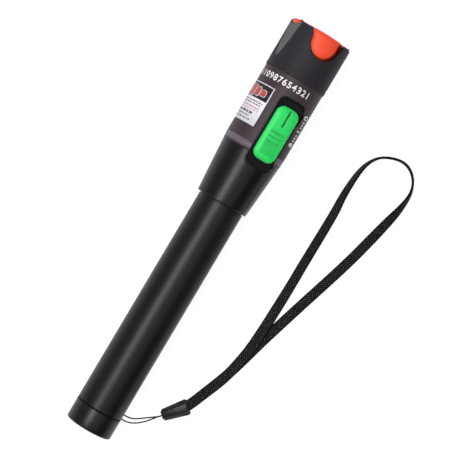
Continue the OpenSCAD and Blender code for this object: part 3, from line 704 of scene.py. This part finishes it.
def make_cord(clasp):
    centres = [on_surface(*row) for row in smooth_route(CORD_ROUTE, CORD_STEPS)]
    along = lengths_along(centres)
    rings = []
    for centre, heading, s in zip(centres, headings(centres), along):
        side = Vector((0, 0, 1)).cross(heading).normalized()
        up = heading.cross(side)
        ring = []
        for j in range(CORD_SIDES):
            a = tau * j / CORD_SIDES
            ply = abs(cos(CORD_PLIES / 2 * (a - tau * s / (CORD_LAY * CORD_PLIES))))
            r = CORD_D / 2 * (1 - PLY_DEPTH + PLY_DEPTH * ply) * MM
            ring.append(centre + (side * cos(a) + up * sin(a)) * r)
        rings.append(ring)
    bm = skin_rings(rings, "cord", lambda i, j: (along[i], j / CORD_SIDES))
    cord = finish_piece("laid_cord", bm, "pen_body", CORD_FIBRE, ["lanyard_cord"], 70)


# Camera: straight down, turned so that the pen leans as in the photograph
CAMERA_X = 4.89
CAMERA_Y = -9.67
CAMERA_Z = 792
CAMERA_TURN = radians(-59.28)
FRAME_W = 177.95
FRAME_Z = 780
SENSOR_W = 36


def make_camera():
    data = bpy.data.cameras.new("camera")
    data.sensor_width = SENSOR_W
    data.lens = SENSOR_W * FRAME_Z / FRAME_W
    data.clip_start, data.clip_end = 0.01, 10
    camera = put_in_scene("camera", data)
    camera.location = (CAMERA_X * MM, CAMERA_Y * MM, CAMERA_Z * MM)
    camera.rotation_euler = (0, 0, CAMERA_TURN)
    bpy.context.scene.camera = camera


# Shells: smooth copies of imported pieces, with their edges rounded
MERGE_GAP = 1e-6
FLAT_ANGLE = radians(1)
EDGE_ANGLE = radians(35)
SHARP_ANGLE = 42
SPIN_STEPS = 120


def merged_copy(name):
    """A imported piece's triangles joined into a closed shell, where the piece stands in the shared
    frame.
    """
    bm = bmesh.new()
    bm.from_mesh(frame["nodes"][name].data)
    bmesh.ops.remove_doubles(bm, verts=bm.verts, dist=MERGE_GAP)
    bmesh.ops.dissolve_limit(bm, angle_limit=FLAT_ANGLE, verts=bm.verts, edges=bm.edges)
    return facing_out(bm)


def dress(name, piece_name, material, round_r=0.12, segments=2, angle=35):
    """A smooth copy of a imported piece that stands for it, its edges rounded in millimetres."""
    return finish_piece(piece_name, merged_copy(name), BODY_OF[name], material, [name],
                        SHARP_ANGLE, [edge_rounding(round_r, segments, angle)])


def edge_rounding(width, segments=2, angle=35):
    """A bevel of a width in millimetres on the edges that turn by more than an angle in degrees."""
    return ("BEVEL", {"width": width * MM, "segments": segments, "limit_method": "ANGLE",
                      "angle_limit": radians(angle), "use_clamp_overlap": True, "harden_normals": True})


def spun(profile):
    """A closed solid of revolution from places along and out of the pen, in millimetres."""
    bm = bmesh.new()
    line = [bm.verts.new((x, 0, r)) for x, r in profile]
    edges = [bm.edges.new(pair) for pair in zip(line, line[1:])]
    bmesh.ops.spin(bm, geom=line + edges, cent=(0, 0, 0), axis=(1, 0, 0), dvec=(0, 0, 0), angle=tau,
                   steps=SPIN_STEPS, use_merge=True)
    bmesh.ops.remove_doubles(bm, verts=bm.verts, dist=0.0005)
    return facing_out(bm)


def bevelled(bm, parts, width, segments=2, affect="EDGES"):
    bmesh.ops.bevel(bm, geom=parts, offset=width, segments=segments, profile=0.5, affect=affect,
                    material=-1)


def turned_edges(bm):
    """The edges where the surface turns by more than the edge angle."""
    return [edge for edge in bm.edges if edge.is_manifold and edge.calc_face_angle() > EDGE_ANGLE]


def into_place(bm, matrix=PEN):
    bmesh.ops.transform(bm, matrix=matrix, verts=bm.verts)
    return bm


# Tail cap: a turned cup with a relief groove and a cut thread, and the seal before the barrel
CAP_EDGE = 0.5
CAP_ROUNDING = 0.1
CAP_HOLLOW_R = 7.4
CAP_FLOOR_X = 2.2
CAP_END_X = 15.5
CAP_END_CHAMFER_L = 0.25
CAP_END_CHAMFER_R = 0.2
RELIEF_R = 7.9
RELIEF_END_L = 0.3
RELIEF_SLOPE_L = 0.04
THREAD_R = 8.2
THREAD_ROOT_R = 7.86
THREAD_PITCH = 0.8
THREAD_TURNS = 4
THREAD_X = 11.75
TOOTH_FOOT = 0.42
TOOTH_CREST = 0.1
TOOTH_SUNK = 0.05
TOOTH_SHORT = 0.04
THREAD_STEPS = 60
SEAL_LIP = 0.12
SEAL_PROUD = 0.015
SEAL_UNDER = 0.06
SEAL_REAR_GAP = 0.01
SEAL_GAP = 0.03


def make_tail_cap():
    relief_end = THREAD_X - RELIEF_END_L
    chamfer_x = CAP_END_X - CAP_END_CHAMFER_L
    bm = spun([
        (0, 0), (0, BARREL_R - CAP_EDGE), (CAP_EDGE, BARREL_R), (TAIL_CAP_L, BARREL_R),
        (TAIL_CAP_L, RELIEF_R), (relief_end, RELIEF_R), (relief_end + RELIEF_SLOPE_L, THREAD_ROOT_R),
        (chamfer_x, THREAD_ROOT_R), (CAP_END_X, THREAD_ROOT_R - CAP_END_CHAMFER_R),
        (CAP_END_X, CAP_HOLLOW_R), (CAP_FLOOR_X, CAP_HOLLOW_R), (CAP_FLOOR_X, 0)
    ])
    bevelled(bm, turned_edges(bm), CAP_ROUNDING)
    finish_piece("tail_cap_shell", into_place(bm), "tail_cap", CAP_METAL, ["tail_cap"], 25)


def make_thread():
    """The tail cap's thread: a tooth's section carried round and along its helix."""
    bm = bmesh.new()
    foot, crest = THREAD_PITCH * TOOTH_FOOT, THREAD_PITCH * TOOTH_CREST
    foot_r, crest_r = THREAD_ROOT_R - TOOTH_SUNK, THREAD_R - TOOTH_SHORT
    section = [(-foot, foot_r), (-crest, crest_r), (crest, crest_r), (foot, foot_r)]
    tooth = bm.faces.new([bm.verts.new((THREAD_X + x, 0, r)) for x, r in section])
    steps = THREAD_STEPS * THREAD_TURNS
    bmesh.ops.spin(bm, geom=[tooth] + list(tooth.verts) + list(tooth.edges), cent=(0, 0, 0),
                   axis=(1, 0, 0), dvec=(THREAD_PITCH * THREAD_TURNS / steps, 0, 0),
                   angle=tau * THREAD_TURNS, steps=steps)
    facing_out(bm)
    finish_piece("tail_cap_thread", into_place(bm), "tail_cap", CAP_METAL, sharp=50)


def make_seal():
    """A seal between cap and barrel, with a thin lip over the edge of each."""
    x0, x1 = TAIL_CAP_L + SEAL_REAR_GAP, BARREL_X - SEAL_GAP
    inner_r, under_r, lip_r = RELIEF_R + SEAL_GAP, BARREL_R - SEAL_UNDER, BARREL_R + SEAL_PROUD
    bm = spun([
        (x0, inner_r), (x0, under_r), (x0 - SEAL_LIP, under_r), (x0 - SEAL_LIP, lip_r),
        (x1 + SEAL_LIP, lip_r), (x1 + SEAL_LIP, under_r), (x1, under_r), (x1, inner_r), (x0, inner_r)
    ])
    finish_piece("seal_band", into_place(bm), "tail_cap", SEAL_RUBBER, ["seal_ring"])


# Knob: drawn in a little from its packed form's sides and rear end, as the photograph shows it
KNOB_FRONT_X = 143.9
KNOB_ROUNDING = 0.1
KNOB_DRAWN = Matrix.Diagonal((0.985, 0.98, 1, 1))


def make_knob():
    front = KNOB @ Matrix.Translation((KNOB_FRONT_X - POCKET_X, 0, 0))
    bm = into_place(merged_copy("slide_knob"), front @ KNOB_DRAWN @ front.inverted())
    rounding = edge_rounding(KNOB_ROUNDING, angle=40)
    finish_piece("knob_shell", bm, "switch_knob", KNOB_PLASTIC, ["slide_knob"],
                 SHARP_ANGLE, [rounding])


# Cap's tongues: round-edged pads in the crown's notches and scallops
TONGUE_GAP = 0.5
SMALL_TONGUE_GAP = 0.15
TONGUE_R = 12.15
TONGUE_FOOT_R = 9.4
TONGUE_ROUND = 1.9
SMALL_TONGUE_ROUND = 0.7
TONGUE_STEP = 0.5
TONGUE_SIDES = 96
TONGUE_SEGMENTS = 6
CUT_GAP = 1e-4
TONGUE_FRONT_X = 174.95
NOTCH_R = 6.4
NOTCH_DEPTH = 9.7
NOTCH_RIM_HALF_W = 7.7
TONGUE_RIGHT_W = 5.2
TONGUE_TURN = radians(-1.5)
SCALLOP_R = 8.84
SCALLOP_DEPTH = 2


def whole(bm):
    return list(bm.verts) + list(bm.edges) + list(bm.faces)


def of_kind(geom, kind):
    return [part for part in geom if isinstance(part, kind)]


def cut_strips(bm, step):
    """Cuts a shape into strips across its second direction."""
    places = [vert.co.y for vert in bm.verts]
    cut = min(places) + step
    while cut < max(places):
        bmesh.ops.bisect_plane(bm, geom=whole(bm), dist=CUT_GAP, plane_co=(0, cut, 0),
                               plane_no=(0, 1, 0))
        cut += step


def tongue(mid_x, r, rounding, rim_left_w=0, rim_right_w=0):
    """A flat pad with a round rear end and a rounded upper edge; a big one widens toward its rim."""
    bm = bmesh.new()
    verts = bmesh.ops.create_circle(bm, cap_ends=True, radius=r, segments=TONGUE_SIDES)["verts"]
    bmesh.ops.translate(bm, vec=(mid_x, 0, 0), verts=verts)
    end_x = mid_x if rim_left_w else TONGUE_FRONT_X
    cut = bmesh.ops.bisect_plane(bm, geom=whole(bm), dist=CUT_GAP, plane_co=(end_x, 0, 0),
                                 plane_no=(1, 0, 0), clear_outer=True)["geom_cut"]
    if rim_left_w:
        ahead = bmesh.ops.extrude_edge_only(bm, edges=of_kind(cut, bmesh.types.BMEdge))["geom"]
        ahead = of_kind(ahead, bmesh.types.BMVert)
        for vert in ahead:
            vert.co.y *= (rim_left_w if vert.co.y > 0 else rim_right_w) / r
        bmesh.ops.translate(bm, vec=(TONGUE_FRONT_X - mid_x, 0, 0), verts=ahead)
        bmesh.ops.dissolve_faces(bm, faces=list(bm.faces))
    raised = bmesh.ops.extrude_face_region(bm, geom=list(bm.faces))["geom"]
    top = of_kind(raised, bmesh.types.BMVert)
    bmesh.ops.translate(bm, vec=(0, 0, TONGUE_R - TONGUE_FOOT_R), verts=top)
    facing_out(bm)
    rim = [edge for edge in turned_edges(bm) if min(vert.co.z for vert in edge.verts) > 0]
    bevelled(bm, rim, rounding, TONGUE_SEGMENTS)
    cut_strips(bm, TONGUE_STEP)
    return bm


def make_tongues():
    big = (CROWN_FRONT_X - NOTCH_DEPTH + NOTCH_R, NOTCH_R - TONGUE_GAP, TONGUE_ROUND,
           NOTCH_RIM_HALF_W - TONGUE_GAP, TONGUE_RIGHT_W)
    small = (CROWN_FRONT_X - SCALLOP_DEPTH + SCALLOP_R, SCALLOP_R - SMALL_TONGUE_GAP, SMALL_TONGUE_ROUND)
    joined = bmesh.new()
    for k, shape in enumerate((big, small, big, small)):
        pad = tongue(*shape)
        for vert in pad.verts:
            vert.co.z = ((TONGUE_FOOT_R + vert.co.z) ** 2 - vert.co.y ** 2) ** 0.5
        into_place(pad, PEN @ Matrix.Rotation(CROWN_TURN + TONGUE_TURN + k * pi / 2, 4, "X"))
        mesh = mesh_of("tongue", pad)
        joined.from_mesh(mesh)
        bpy.data.meshes.remove(mesh)
    finish_piece("cap_tongue_pads", joined, "dust_cap", CAP_RUBBER, ["cap_tongues"], 60)


# Printed films, and films of painted shadow and highlight: flat shapes laid on the head, in millimetres
# along the pen and round it from its top
FILM_STEP = 0.6
FILM_T = 0.016
FILM_SLIVER = 0.004
CORNER_STEPS = 9
DISC_SIDES = 24
# Lifts of the printed layers, and of the painted shadow and highlight, over the sleeve's skin
BAND_LIFT = 0.015
FIRST_LIFT = 0.02
SECOND_LIFT = 0.04
POCKET_LIGHT_AND_SHADE_LIFT = 0.05
THIRD_LIFT = 0.06
FOURTH_LIFT = 0.08


def skin_r(x):
    """Radius of the head's skin at a place along the pen."""
    t = min(1, max(0, (x - HOUSING_X) / TAPER_L))
    return COLLAR_R + (HEAD_R - COLLAR_R) * (1 - (1 - t) ** TAPER_POWER)


def add_bar(bm, x0, x1, t0, t1, corner=0):
    made = bmesh.ops.create_grid(bm, x_segments=1, y_segments=1, size=0.5)["verts"]
    bmesh.ops.scale(bm, vec=(x1 - x0, t1 - t0, 1), verts=made)
    bmesh.ops.translate(bm, vec=((x0 + x1) / 2, (t0 + t1) / 2, 0), verts=made)
    if corner:
        bevelled(bm, made, corner, CORNER_STEPS, "VERTICES")


def add_disc(bm, x, r, hole_r):
    made = bmesh.ops.create_circle(bm, cap_ends=True, radius=r, segments=DISC_SIDES)["verts"]
    bmesh.ops.translate(bm, vec=(x, 0, 0), verts=made)
    if hole_r:
        face = made[0].link_faces[0]
        bmesh.ops.inset_region(bm, faces=[face], thickness=r - hole_r, use_boundary=True)
        bmesh.ops.delete(bm, geom=[face], context="FACES")


def lay_film(name, bm, lift, ink):
    """Cuts a flat film into narrow strips, bends it round the head and gives it its thickness."""
    cut_strips(bm, FILM_STEP)
    bmesh.ops.triangulate(bm, faces=bm.faces)
    bmesh.ops.dissolve_degenerate(bm, dist=FILM_SLIVER, edges=bm.edges)
    for vert in bm.verts:
        x, turn = vert.co.x, vert.co.y / HEAD_R
        r = skin_r(x) + lift
        vert.co = PEN @ Vector((x, -r * sin(turn), r * cos(turn)))
    bmesh.ops.reverse_faces(bm, faces=bm.faces)
    wall = ("SOLIDIFY", {"thickness": FILM_T * MM, "offset": 1})
    finish_piece(name, bm, "pen_body", ink, sharp=30, modifiers=[wall])


def bar_film(name, ink, lift, *bars):
    bm = bmesh.new()
    for bar in bars:
        add_bar(bm, *bar)
    lay_film(name, bm, lift, ink)


# Panel on the head's left: a frame, a dark box with red blocks, and a field with rows of dashes
PANEL = (131.0, 147.3, -30.3, -4.26)
BOX = (140.95, 146.85, -29.85, -4.75)
BLOCK_X = 143.65
BLOCK_T1 = -6.6
BLOCK_L = 2.3
BLOCK_GAP = 0.8
BLOCK_EDGE = 0.22
BLOCK_CORNER = 0.4
BLOCK_WIDTHS = [2.4, 3.4, 4.2, 4.4, 4.2, 3.4, 2.4]
# Rows are place along the pen, height, right end and the longest dash of each row
GREY_ROWS = [(139.75, 0.5, -5.6, 1.5), (138.75, 0.5, -6.2, 1.2), (135.15, 0.95, -7.8, 2.0),
             (133.75, 0.5, -8.6, 1.4), (132.45, 0.5, -7.4, 1.3)]
PINK_ROWS = [(137.45, 0.5, -5.8, 1.7), (136.45, 0.35, -5.8, 1.2)]
ROW_LEFT = -28.6
ROW_SHIFT = 0.37
DASH_GAP = 0.42
DASH_SHORTEST = 0.35
GOLDEN = 0.618


def row_dashes(rows):
    """Bars of uneven length from each row's right end to the panel's left."""
    bars = []
    for k, (x, height, t, longest) in enumerate(rows):
        n = 0
        while t > ROW_LEFT:
            uneven = (n * GOLDEN + k * ROW_SHIFT) % 1
            length = longest * (DASH_SHORTEST + (1 - DASH_SHORTEST) * uneven)
            bars.append((x - height / 2, x + height / 2, max(t - length, ROW_LEFT), t))
            t -= length + DASH_GAP
            n += 1
    return bars


def make_panel():
    blocks = []
    for k, width in enumerate(BLOCK_WIDTHS):
        t = BLOCK_T1 - k * (BLOCK_L + BLOCK_GAP)
        blocks.append((BLOCK_X - width / 2, BLOCK_X + width / 2, t - BLOCK_L, t, BLOCK_CORNER))
    grown = [(x0 - BLOCK_EDGE, x1 + BLOCK_EDGE, t0 - BLOCK_EDGE, t1 + BLOCK_EDGE, corner + BLOCK_EDGE)
             for x0, x1, t0, t1, corner in blocks]
    bar_film("panel_field", INK_WHITE, FIRST_LIFT, PANEL)
    bar_film("panel_box", INK_BLACK, SECOND_LIFT, BOX)
    bar_film("panel_block_edges", INK_WHITE, THIRD_LIFT, *grown)
    bar_film("panel_blocks", INK_RED, FOURTH_LIFT, *blocks)
    bar_film("panel_rows", INK_GREY, SECOND_LIFT, *row_dashes(GREY_ROWS))
    bar_film("panel_rows_pink", INK_PINK, SECOND_LIFT, *row_dashes(PINK_ROWS))


# Numbers round the head, and the switch's marks beside the knob
NUMBERS = "121110987654321"
NUMBERS_X = 150.1
NUMBERS_END_T = 9.0
NUMBER_SIZE = 3.55
NUMBER_SPACE = 1.2
NUMBER_WEIGHT = 0.09
NUMBER_MERGE_GAP = 0.001


def make_numbers():
    """Plain bold numbers that read round the head, their tops toward its front."""
    curve = bpy.data.curves.new("numbers", "FONT")
    curve.body = NUMBERS
    curve.size = NUMBER_SIZE
    curve.space_character = NUMBER_SPACE
    curve.offset = NUMBER_WEIGHT
    curve.align_x = "RIGHT"
    flat = bpy.data.objects.new("numbers", curve)
    bm = bmesh.new()
    bm.from_mesh(bpy.data.meshes.new_from_object(flat))
    bpy.data.objects.remove(flat)
    bmesh.ops.remove_doubles(bm, verts=bm.verts, dist=NUMBER_MERGE_GAP)
    for vert in bm.verts:
        vert.co = (NUMBERS_X + vert.co.y, NUMBERS_END_T + vert.co.x, 0)
    bmesh.ops.reverse_faces(bm, faces=bm.faces)
    lay_film("head_numbers", bm, FIRST_LIFT, INK_WHITE)


# Marks stand in a row along the pen, drawn out round it by a factor
MARK_T = 14.6
MARK_TALL = 1.9
# Discs are place, radius and their hole's radius; bars are place, half length and half width
MARK_DISCS = [(132.35, 0.9, 0), (143.95, 1, 0.45)]
MARK_BARS = [(138.05, 0.3, 0.9)] + [(x, 0.35, 0.35) for x in (134.1, 135.2, 136.3, 139.8, 140.9, 142)]


def make_marks():
    bm = bmesh.new()
    for disc in MARK_DISCS:
        add_disc(bm, *disc)
    for x, half_l, half_w in MARK_BARS:
        add_bar(bm, x - half_l, x + half_l, -half_w, half_w)
    bmesh.ops.scale(bm, vec=(1, MARK_TALL, 1), verts=bm.verts)
    bmesh.ops.translate(bm, vec=(0, MARK_T, 0), verts=bm.verts)
    lay_film("switch_marks", bm, FIRST_LIFT, INK_WHITE)


# Lilac band at the sleeve's end, open at the switch's pocket, and a painted shadow and a painted
# highlight on the pocket's right edge
BAND = (122.98, 125.6)
BAND_LINE = (122.47, 122.98)
BAND_GAP = 0.12
POCKET_LIGHT_AND_SHADE_HALF_L = 11.8
POCKET_SHADOW = (5.75, 6.6)
POCKET_SHADOW_CORNER = 0.5
POCKET_HIGHLIGHT = (6.65, 6.9)
POCKET_HIGHLIGHT_GAP = 1


def across_knob(across):
    """Place round the head of a point that many millimetres to the right of the knob's middle."""
    return (ROLL + asin(across / HEAD_R)) * HEAD_R


def make_pocket_shadow_and_highlight():
    """A dark line of painted shadow and a thin pale one of painted highlight on the pocket's right edge.
    """
    x0, x1 = POCKET_X - POCKET_LIGHT_AND_SHADE_HALF_L, POCKET_X + POCKET_LIGHT_AND_SHADE_HALF_L
    dark = (x0, x1, across_knob(POCKET_SHADOW[0]), across_knob(POCKET_SHADOW[1]), POCKET_SHADOW_CORNER)
    pale = (x0 + POCKET_HIGHLIGHT_GAP, x1, across_knob(POCKET_HIGHLIGHT[0]), across_knob(POCKET_HIGHLIGHT[1]))
    bar_film("pocket_painted_shadow", POCKET_SHADOW_INK, POCKET_LIGHT_AND_SHADE_LIFT, dark)
    bar_film("pocket_painted_highlight", LILAC_INK_AND_HIGHLIGHT, POCKET_LIGHT_AND_SHADE_LIFT, pale)


def make_band():
    half = POCKET_HALF_W / skin_r(BAND[0])
    t0 = (ROLL + half) * HEAD_R + BAND_GAP
    t1 = (ROLL - half + tau) * HEAD_R - BAND_GAP
    bar_film("sleeve_band", LILAC_INK_AND_HIGHLIGHT, BAND_LIFT, BAND + (t0, t1))
    bar_film("sleeve_band_line", INK_BLACK, FIRST_LIFT, BAND_LINE + (t0, t1))


# Lights: place and size in metres, and power in watts; each faces the pen
LIGHTS = {
    "left_strip": ((0.0, 0.175, 0.63), (0.5, 0.2), 2.75),
    "top_soft": ((0.1, -0.2, 0.95), (1.0, 1.3), 3.0),
}
LIT_Z = 0.012

# Room and floor: the room's shade on either side, and the floor's size, shades and glow
WHITE = (1, 1, 1, 1)
ROOM_LEFT = (0.4, 0.4, 0.405, 1)
ROOM_RIGHT = (0.08, 0.08, 0.082, 1)
FLOOR_HALF_W = 3
FLOOR_PLAIN = (0.75, 0.75, 0.75, 1)
FLOOR_FAINT = (0.16, 0.16, 0.16, 1)
FLOOR_GLOW = 0.93


def make_lights():
    for name, (place, size, power) in LIGHTS.items():
        data = bpy.data.lights.new(name, "AREA")
        data.shape = "RECTANGLE"
        data.size, data.size_y = size
        data.energy = power
        lamp = put_in_scene(name, data)
        lamp.location = place
        across = Vector((1, 0, 0))
        back = (Vector(place) - Vector((0, 0, LIT_Z))).normalized()
        along = (across - back * across.dot(back)).normalized()
        lamp.rotation_euler = Matrix((along, back.cross(along), back)).transposed().to_euler()


def seen_directly(tree):
    """One for rays that come from the camera, a mirror or glass."""
    path = node(tree, "ShaderNodeLightPath").outputs
    return larger(tree, path["Is Camera Ray"], path["Is Glossy Ray"], path["Is Transmission Ray"])


def make_world():
    world = bpy.data.worlds.new("studio")
    world.use_nodes = True
    tree = world.node_tree
    direction = node(tree, "ShaderNodeTexCoord").outputs["Generated"]
    left = node(tree, "ShaderNodeSeparateXYZ", {"Vector": direction}).outputs["Y"]
    shade = {"Value": left, "From Min": -1.0, "From Max": 1.0}
    room = mixed(tree, node(tree, "ShaderNodeMapRange", shade).outputs["Result"], ROOM_RIGHT, ROOM_LEFT)
    seen = node(tree, "ShaderNodeLightPath").outputs["Is Camera Ray"]
    join(tree, mixed(tree, seen, room, WHITE), tree.nodes["Background"].inputs["Color"])
    bpy.context.scene.world = world


def make_floor():
    bm = bmesh.new()
    bmesh.ops.create_grid(bm, x_segments=1, y_segments=1, size=FLOOR_HALF_W)
    mesh = mesh_of("floor", bm)
    floor_piece = put_in_scene("floor", mesh)
    mesh.materials.append(floor_material())


def floor_material():
    """Plain and pale for light on the part, and close to white where it is seen."""
    material, tree = new_material("pale floor")
    tree.nodes.clear()
    plain = node(tree, "ShaderNodeBsdfDiffuse", {"Color": FLOOR_PLAIN})
    faint = node(tree, "ShaderNodeBsdfDiffuse", {"Color": FLOOR_FAINT})
    white = node(tree, "ShaderNodeEmission", {"Color": WHITE, "Strength": FLOOR_GLOW})
    lit = node(tree, "ShaderNodeAddShader", {0: faint.outputs[0], 1: white.outputs[0]})
    both = node(tree, "ShaderNodeMixShader", {0: seen_directly(tree), 1: plain.outputs[0],
                                              2: lit.outputs[0]})
    join(tree, both.outputs[0], node(tree, "ShaderNodeOutputMaterial").inputs["Surface"])
    return material


bpy.context.scene.view_settings.view_transform = "Standard"
make_camera()

STRAP_CLOTH = woven("braided strap cloth")
CORD_FIBRE = twisted("laid cord fibre")
CLASP_PLASTIC = moulded("clasp plastic", (0.003, 0.003, 0.0035), (0.005, 0.005, 0.006), 0.3, gloss=0.22)
make_strap()
make_cord(dress("cord_clasp", "clasp_shell", CLASP_PLASTIC, round_r=0.25, segments=3))

BLACK = (0.0032, 0.0028, 0.0031)
BLACK_LIGHT = (0.0052, 0.0045, 0.005)
BARREL_METAL = blasted_metal("barrel anodised", BLACK, BLACK_LIGHT, 0.38)
CAP_METAL = blasted_metal("tail cap anodised", BLACK, BLACK_LIGHT, 0.33)
HEAD_METAL = blasted_metal("head anodised", BLACK, BLACK_LIGHT, 0.33)
CROWN_METAL = blasted_metal("crown anodised", (0.019, 0.017, 0.021), (0.024, 0.022, 0.027), 0.58, 6000.0,
                            gloss=0.2, milled=(0.17, 0.165, 0.175))
SLEEVE_FILM = moulded("sleeve film", (0.045, 0.029, 0.037), (0.053, 0.036, 0.045), 0.5, 3500.0,
                      gloss=0.25)
SEAL_RUBBER = moulded("seal rubber", (0.001, 0.001, 0.001), (0.002, 0.002, 0.002), 0.6, gloss=0.1)
BEZEL_PLASTIC = moulded("bezel plastic", (0.002, 0.002, 0.0022), (0.004, 0.004, 0.0043), 0.4, gloss=0.25)
# Knob: a painted highlight on its rounded rim, and painted shade in its slot, grooves and pad and low on
# its walls
KNOB_PLASTIC = moulded("knob plastic", (0.022, 0.73, 0.125), (0.03, 0.79, 0.15), 0.45, reach=0.0005,
                       edge_wear_and_highlight=(0.18, 0.88, 0.35), painted_shade=(0.002, 0.09, 0.02), shade_mask=knob_painted_shade_mask,
                       gloss=0.35)
# Dust cap: painted shade on its skirt and inside, as if in the crown's shadow
CAP_RUBBER = moulded("dust cap rubber", (0.93, 0.08, 0.028), (0.97, 0.1, 0.038), 0.45, glow=0.05,
                     reach=0.0004, edge_wear_and_highlight=(0.97, 0.2, 0.1), painted_shade=(0.16, 0.014, 0.008),
                     shade_mask=skirt_painted_shade_mask, gloss=0.3)
SLIDER_PLASTIC = moulded("slider plastic", (0.75, 0.75, 0.72), (0.85, 0.85, 0.82), 0.4)
CHASSIS_PLASTIC = moulded("chassis plastic", (0.03, 0.03, 0.033), (0.05, 0.05, 0.055), 0.5)
CHIP_PLASTIC = moulded("component plastic", (0.02, 0.02, 0.022), (0.04, 0.04, 0.042), 0.45)
CERAMIC = moulded("sleeve ceramic", (0.82, 0.8, 0.76), (0.9, 0.89, 0.86), 0.22, clear=0.3)
CELL_JACKET = moulded("cell jacket", (0.1, 0.12, 0.16), (0.14, 0.16, 0.2), 0.3, clear=0.4)
BRASS = turned_metal("turned brass", (0.72, 0.52, 0.22), 0.28)
SPRING_STEEL = turned_metal("spring steel", (0.7, 0.7, 0.71), 0.25, pitch=30.0)
SWITCH_STEEL = turned_metal("switch steel", (0.62, 0.63, 0.64), 0.35)
PORT_STEEL = turned_metal("port steel", (0.66, 0.67, 0.68), 0.24)
GOLD_PLATE = turned_metal("gold plate", (0.85, 0.62, 0.25), 0.25)
INK_WHITE = printed("white ink", (0.93, 0.9, 0.96))
INK_BLACK = printed("black ink", (0.012, 0.01, 0.013))
# Painted shadow: matt black for the dark line on the pocket's right edge
POCKET_SHADOW_INK = printed("matt black painted shadow", (0.0015, 0.002, 0.0015), 0.8, gloss=0.02)
INK_RED = printed("red ink", (0.62, 0.07, 0.06))
INK_GREY = printed("grey ink", (0.16, 0.14, 0.18))
INK_PINK = printed("pink ink", (0.62, 0.25, 0.33))
# Lilac for the sleeve's band, and the painted highlight on the pocket's right edge
LILAC_INK_AND_HIGHLIGHT = printed("lilac ink and painted highlight", (0.15, 0.12, 0.15))

# Pieces that show, each in place of its packed one
make_tail_cap()
make_thread()
make_seal()
dress("barrel", "barrel_shell", BARREL_METAL)
dress("head_housing", "head_shell", HEAD_METAL)
dress("printed_sleeve", "sleeve_shell", SLEEVE_FILM, round_r=0.06)
dress("switch_bezel", "bezel_shell", BEZEL_PLASTIC, round_r=0.1)
make_knob()
dress("front_crown", "crown_shell", CROWN_METAL)
dress("dust_cap", "dust_cap_shell", CAP_RUBBER, round_r=0.1, angle=40)
make_tongues()
make_band()
make_pocket_shadow_and_highlight()
make_panel()
make_numbers()
make_marks()

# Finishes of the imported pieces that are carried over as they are
NODE_FINISHES = {
    "spring_seat": BRASS,
    "tail_spring": SPRING_STEEL,
    "battery_rear": CELL_JACKET,
    "battery_front": CELL_JACKET,
    "battery_contact": BRASS,
    "switch_slider": SLIDER_PLASTIC,
    "slide_switch": SWITCH_STEEL,
    "driver_board": circuit_board("circuit board"),
    "board_components": CHIP_PLASTIC,
    "chassis": CHASSIS_PLASTIC,
    "laser_diode": GOLD_PLATE,
    "diode_holder": BRASS,
    "focus_lens": lens_glass("lens glass"),
    "ferrule_holder": PORT_STEEL,
    "port_neck": PORT_STEEL,
    "ceramic_sleeve": CERAMIC,
}
for name, material in NODE_FINISHES.items():
    for slot in frame["nodes"][name].material_slots:
        slot.link = "OBJECT"
        slot.material = material

make_floor()
make_world()
make_lights()
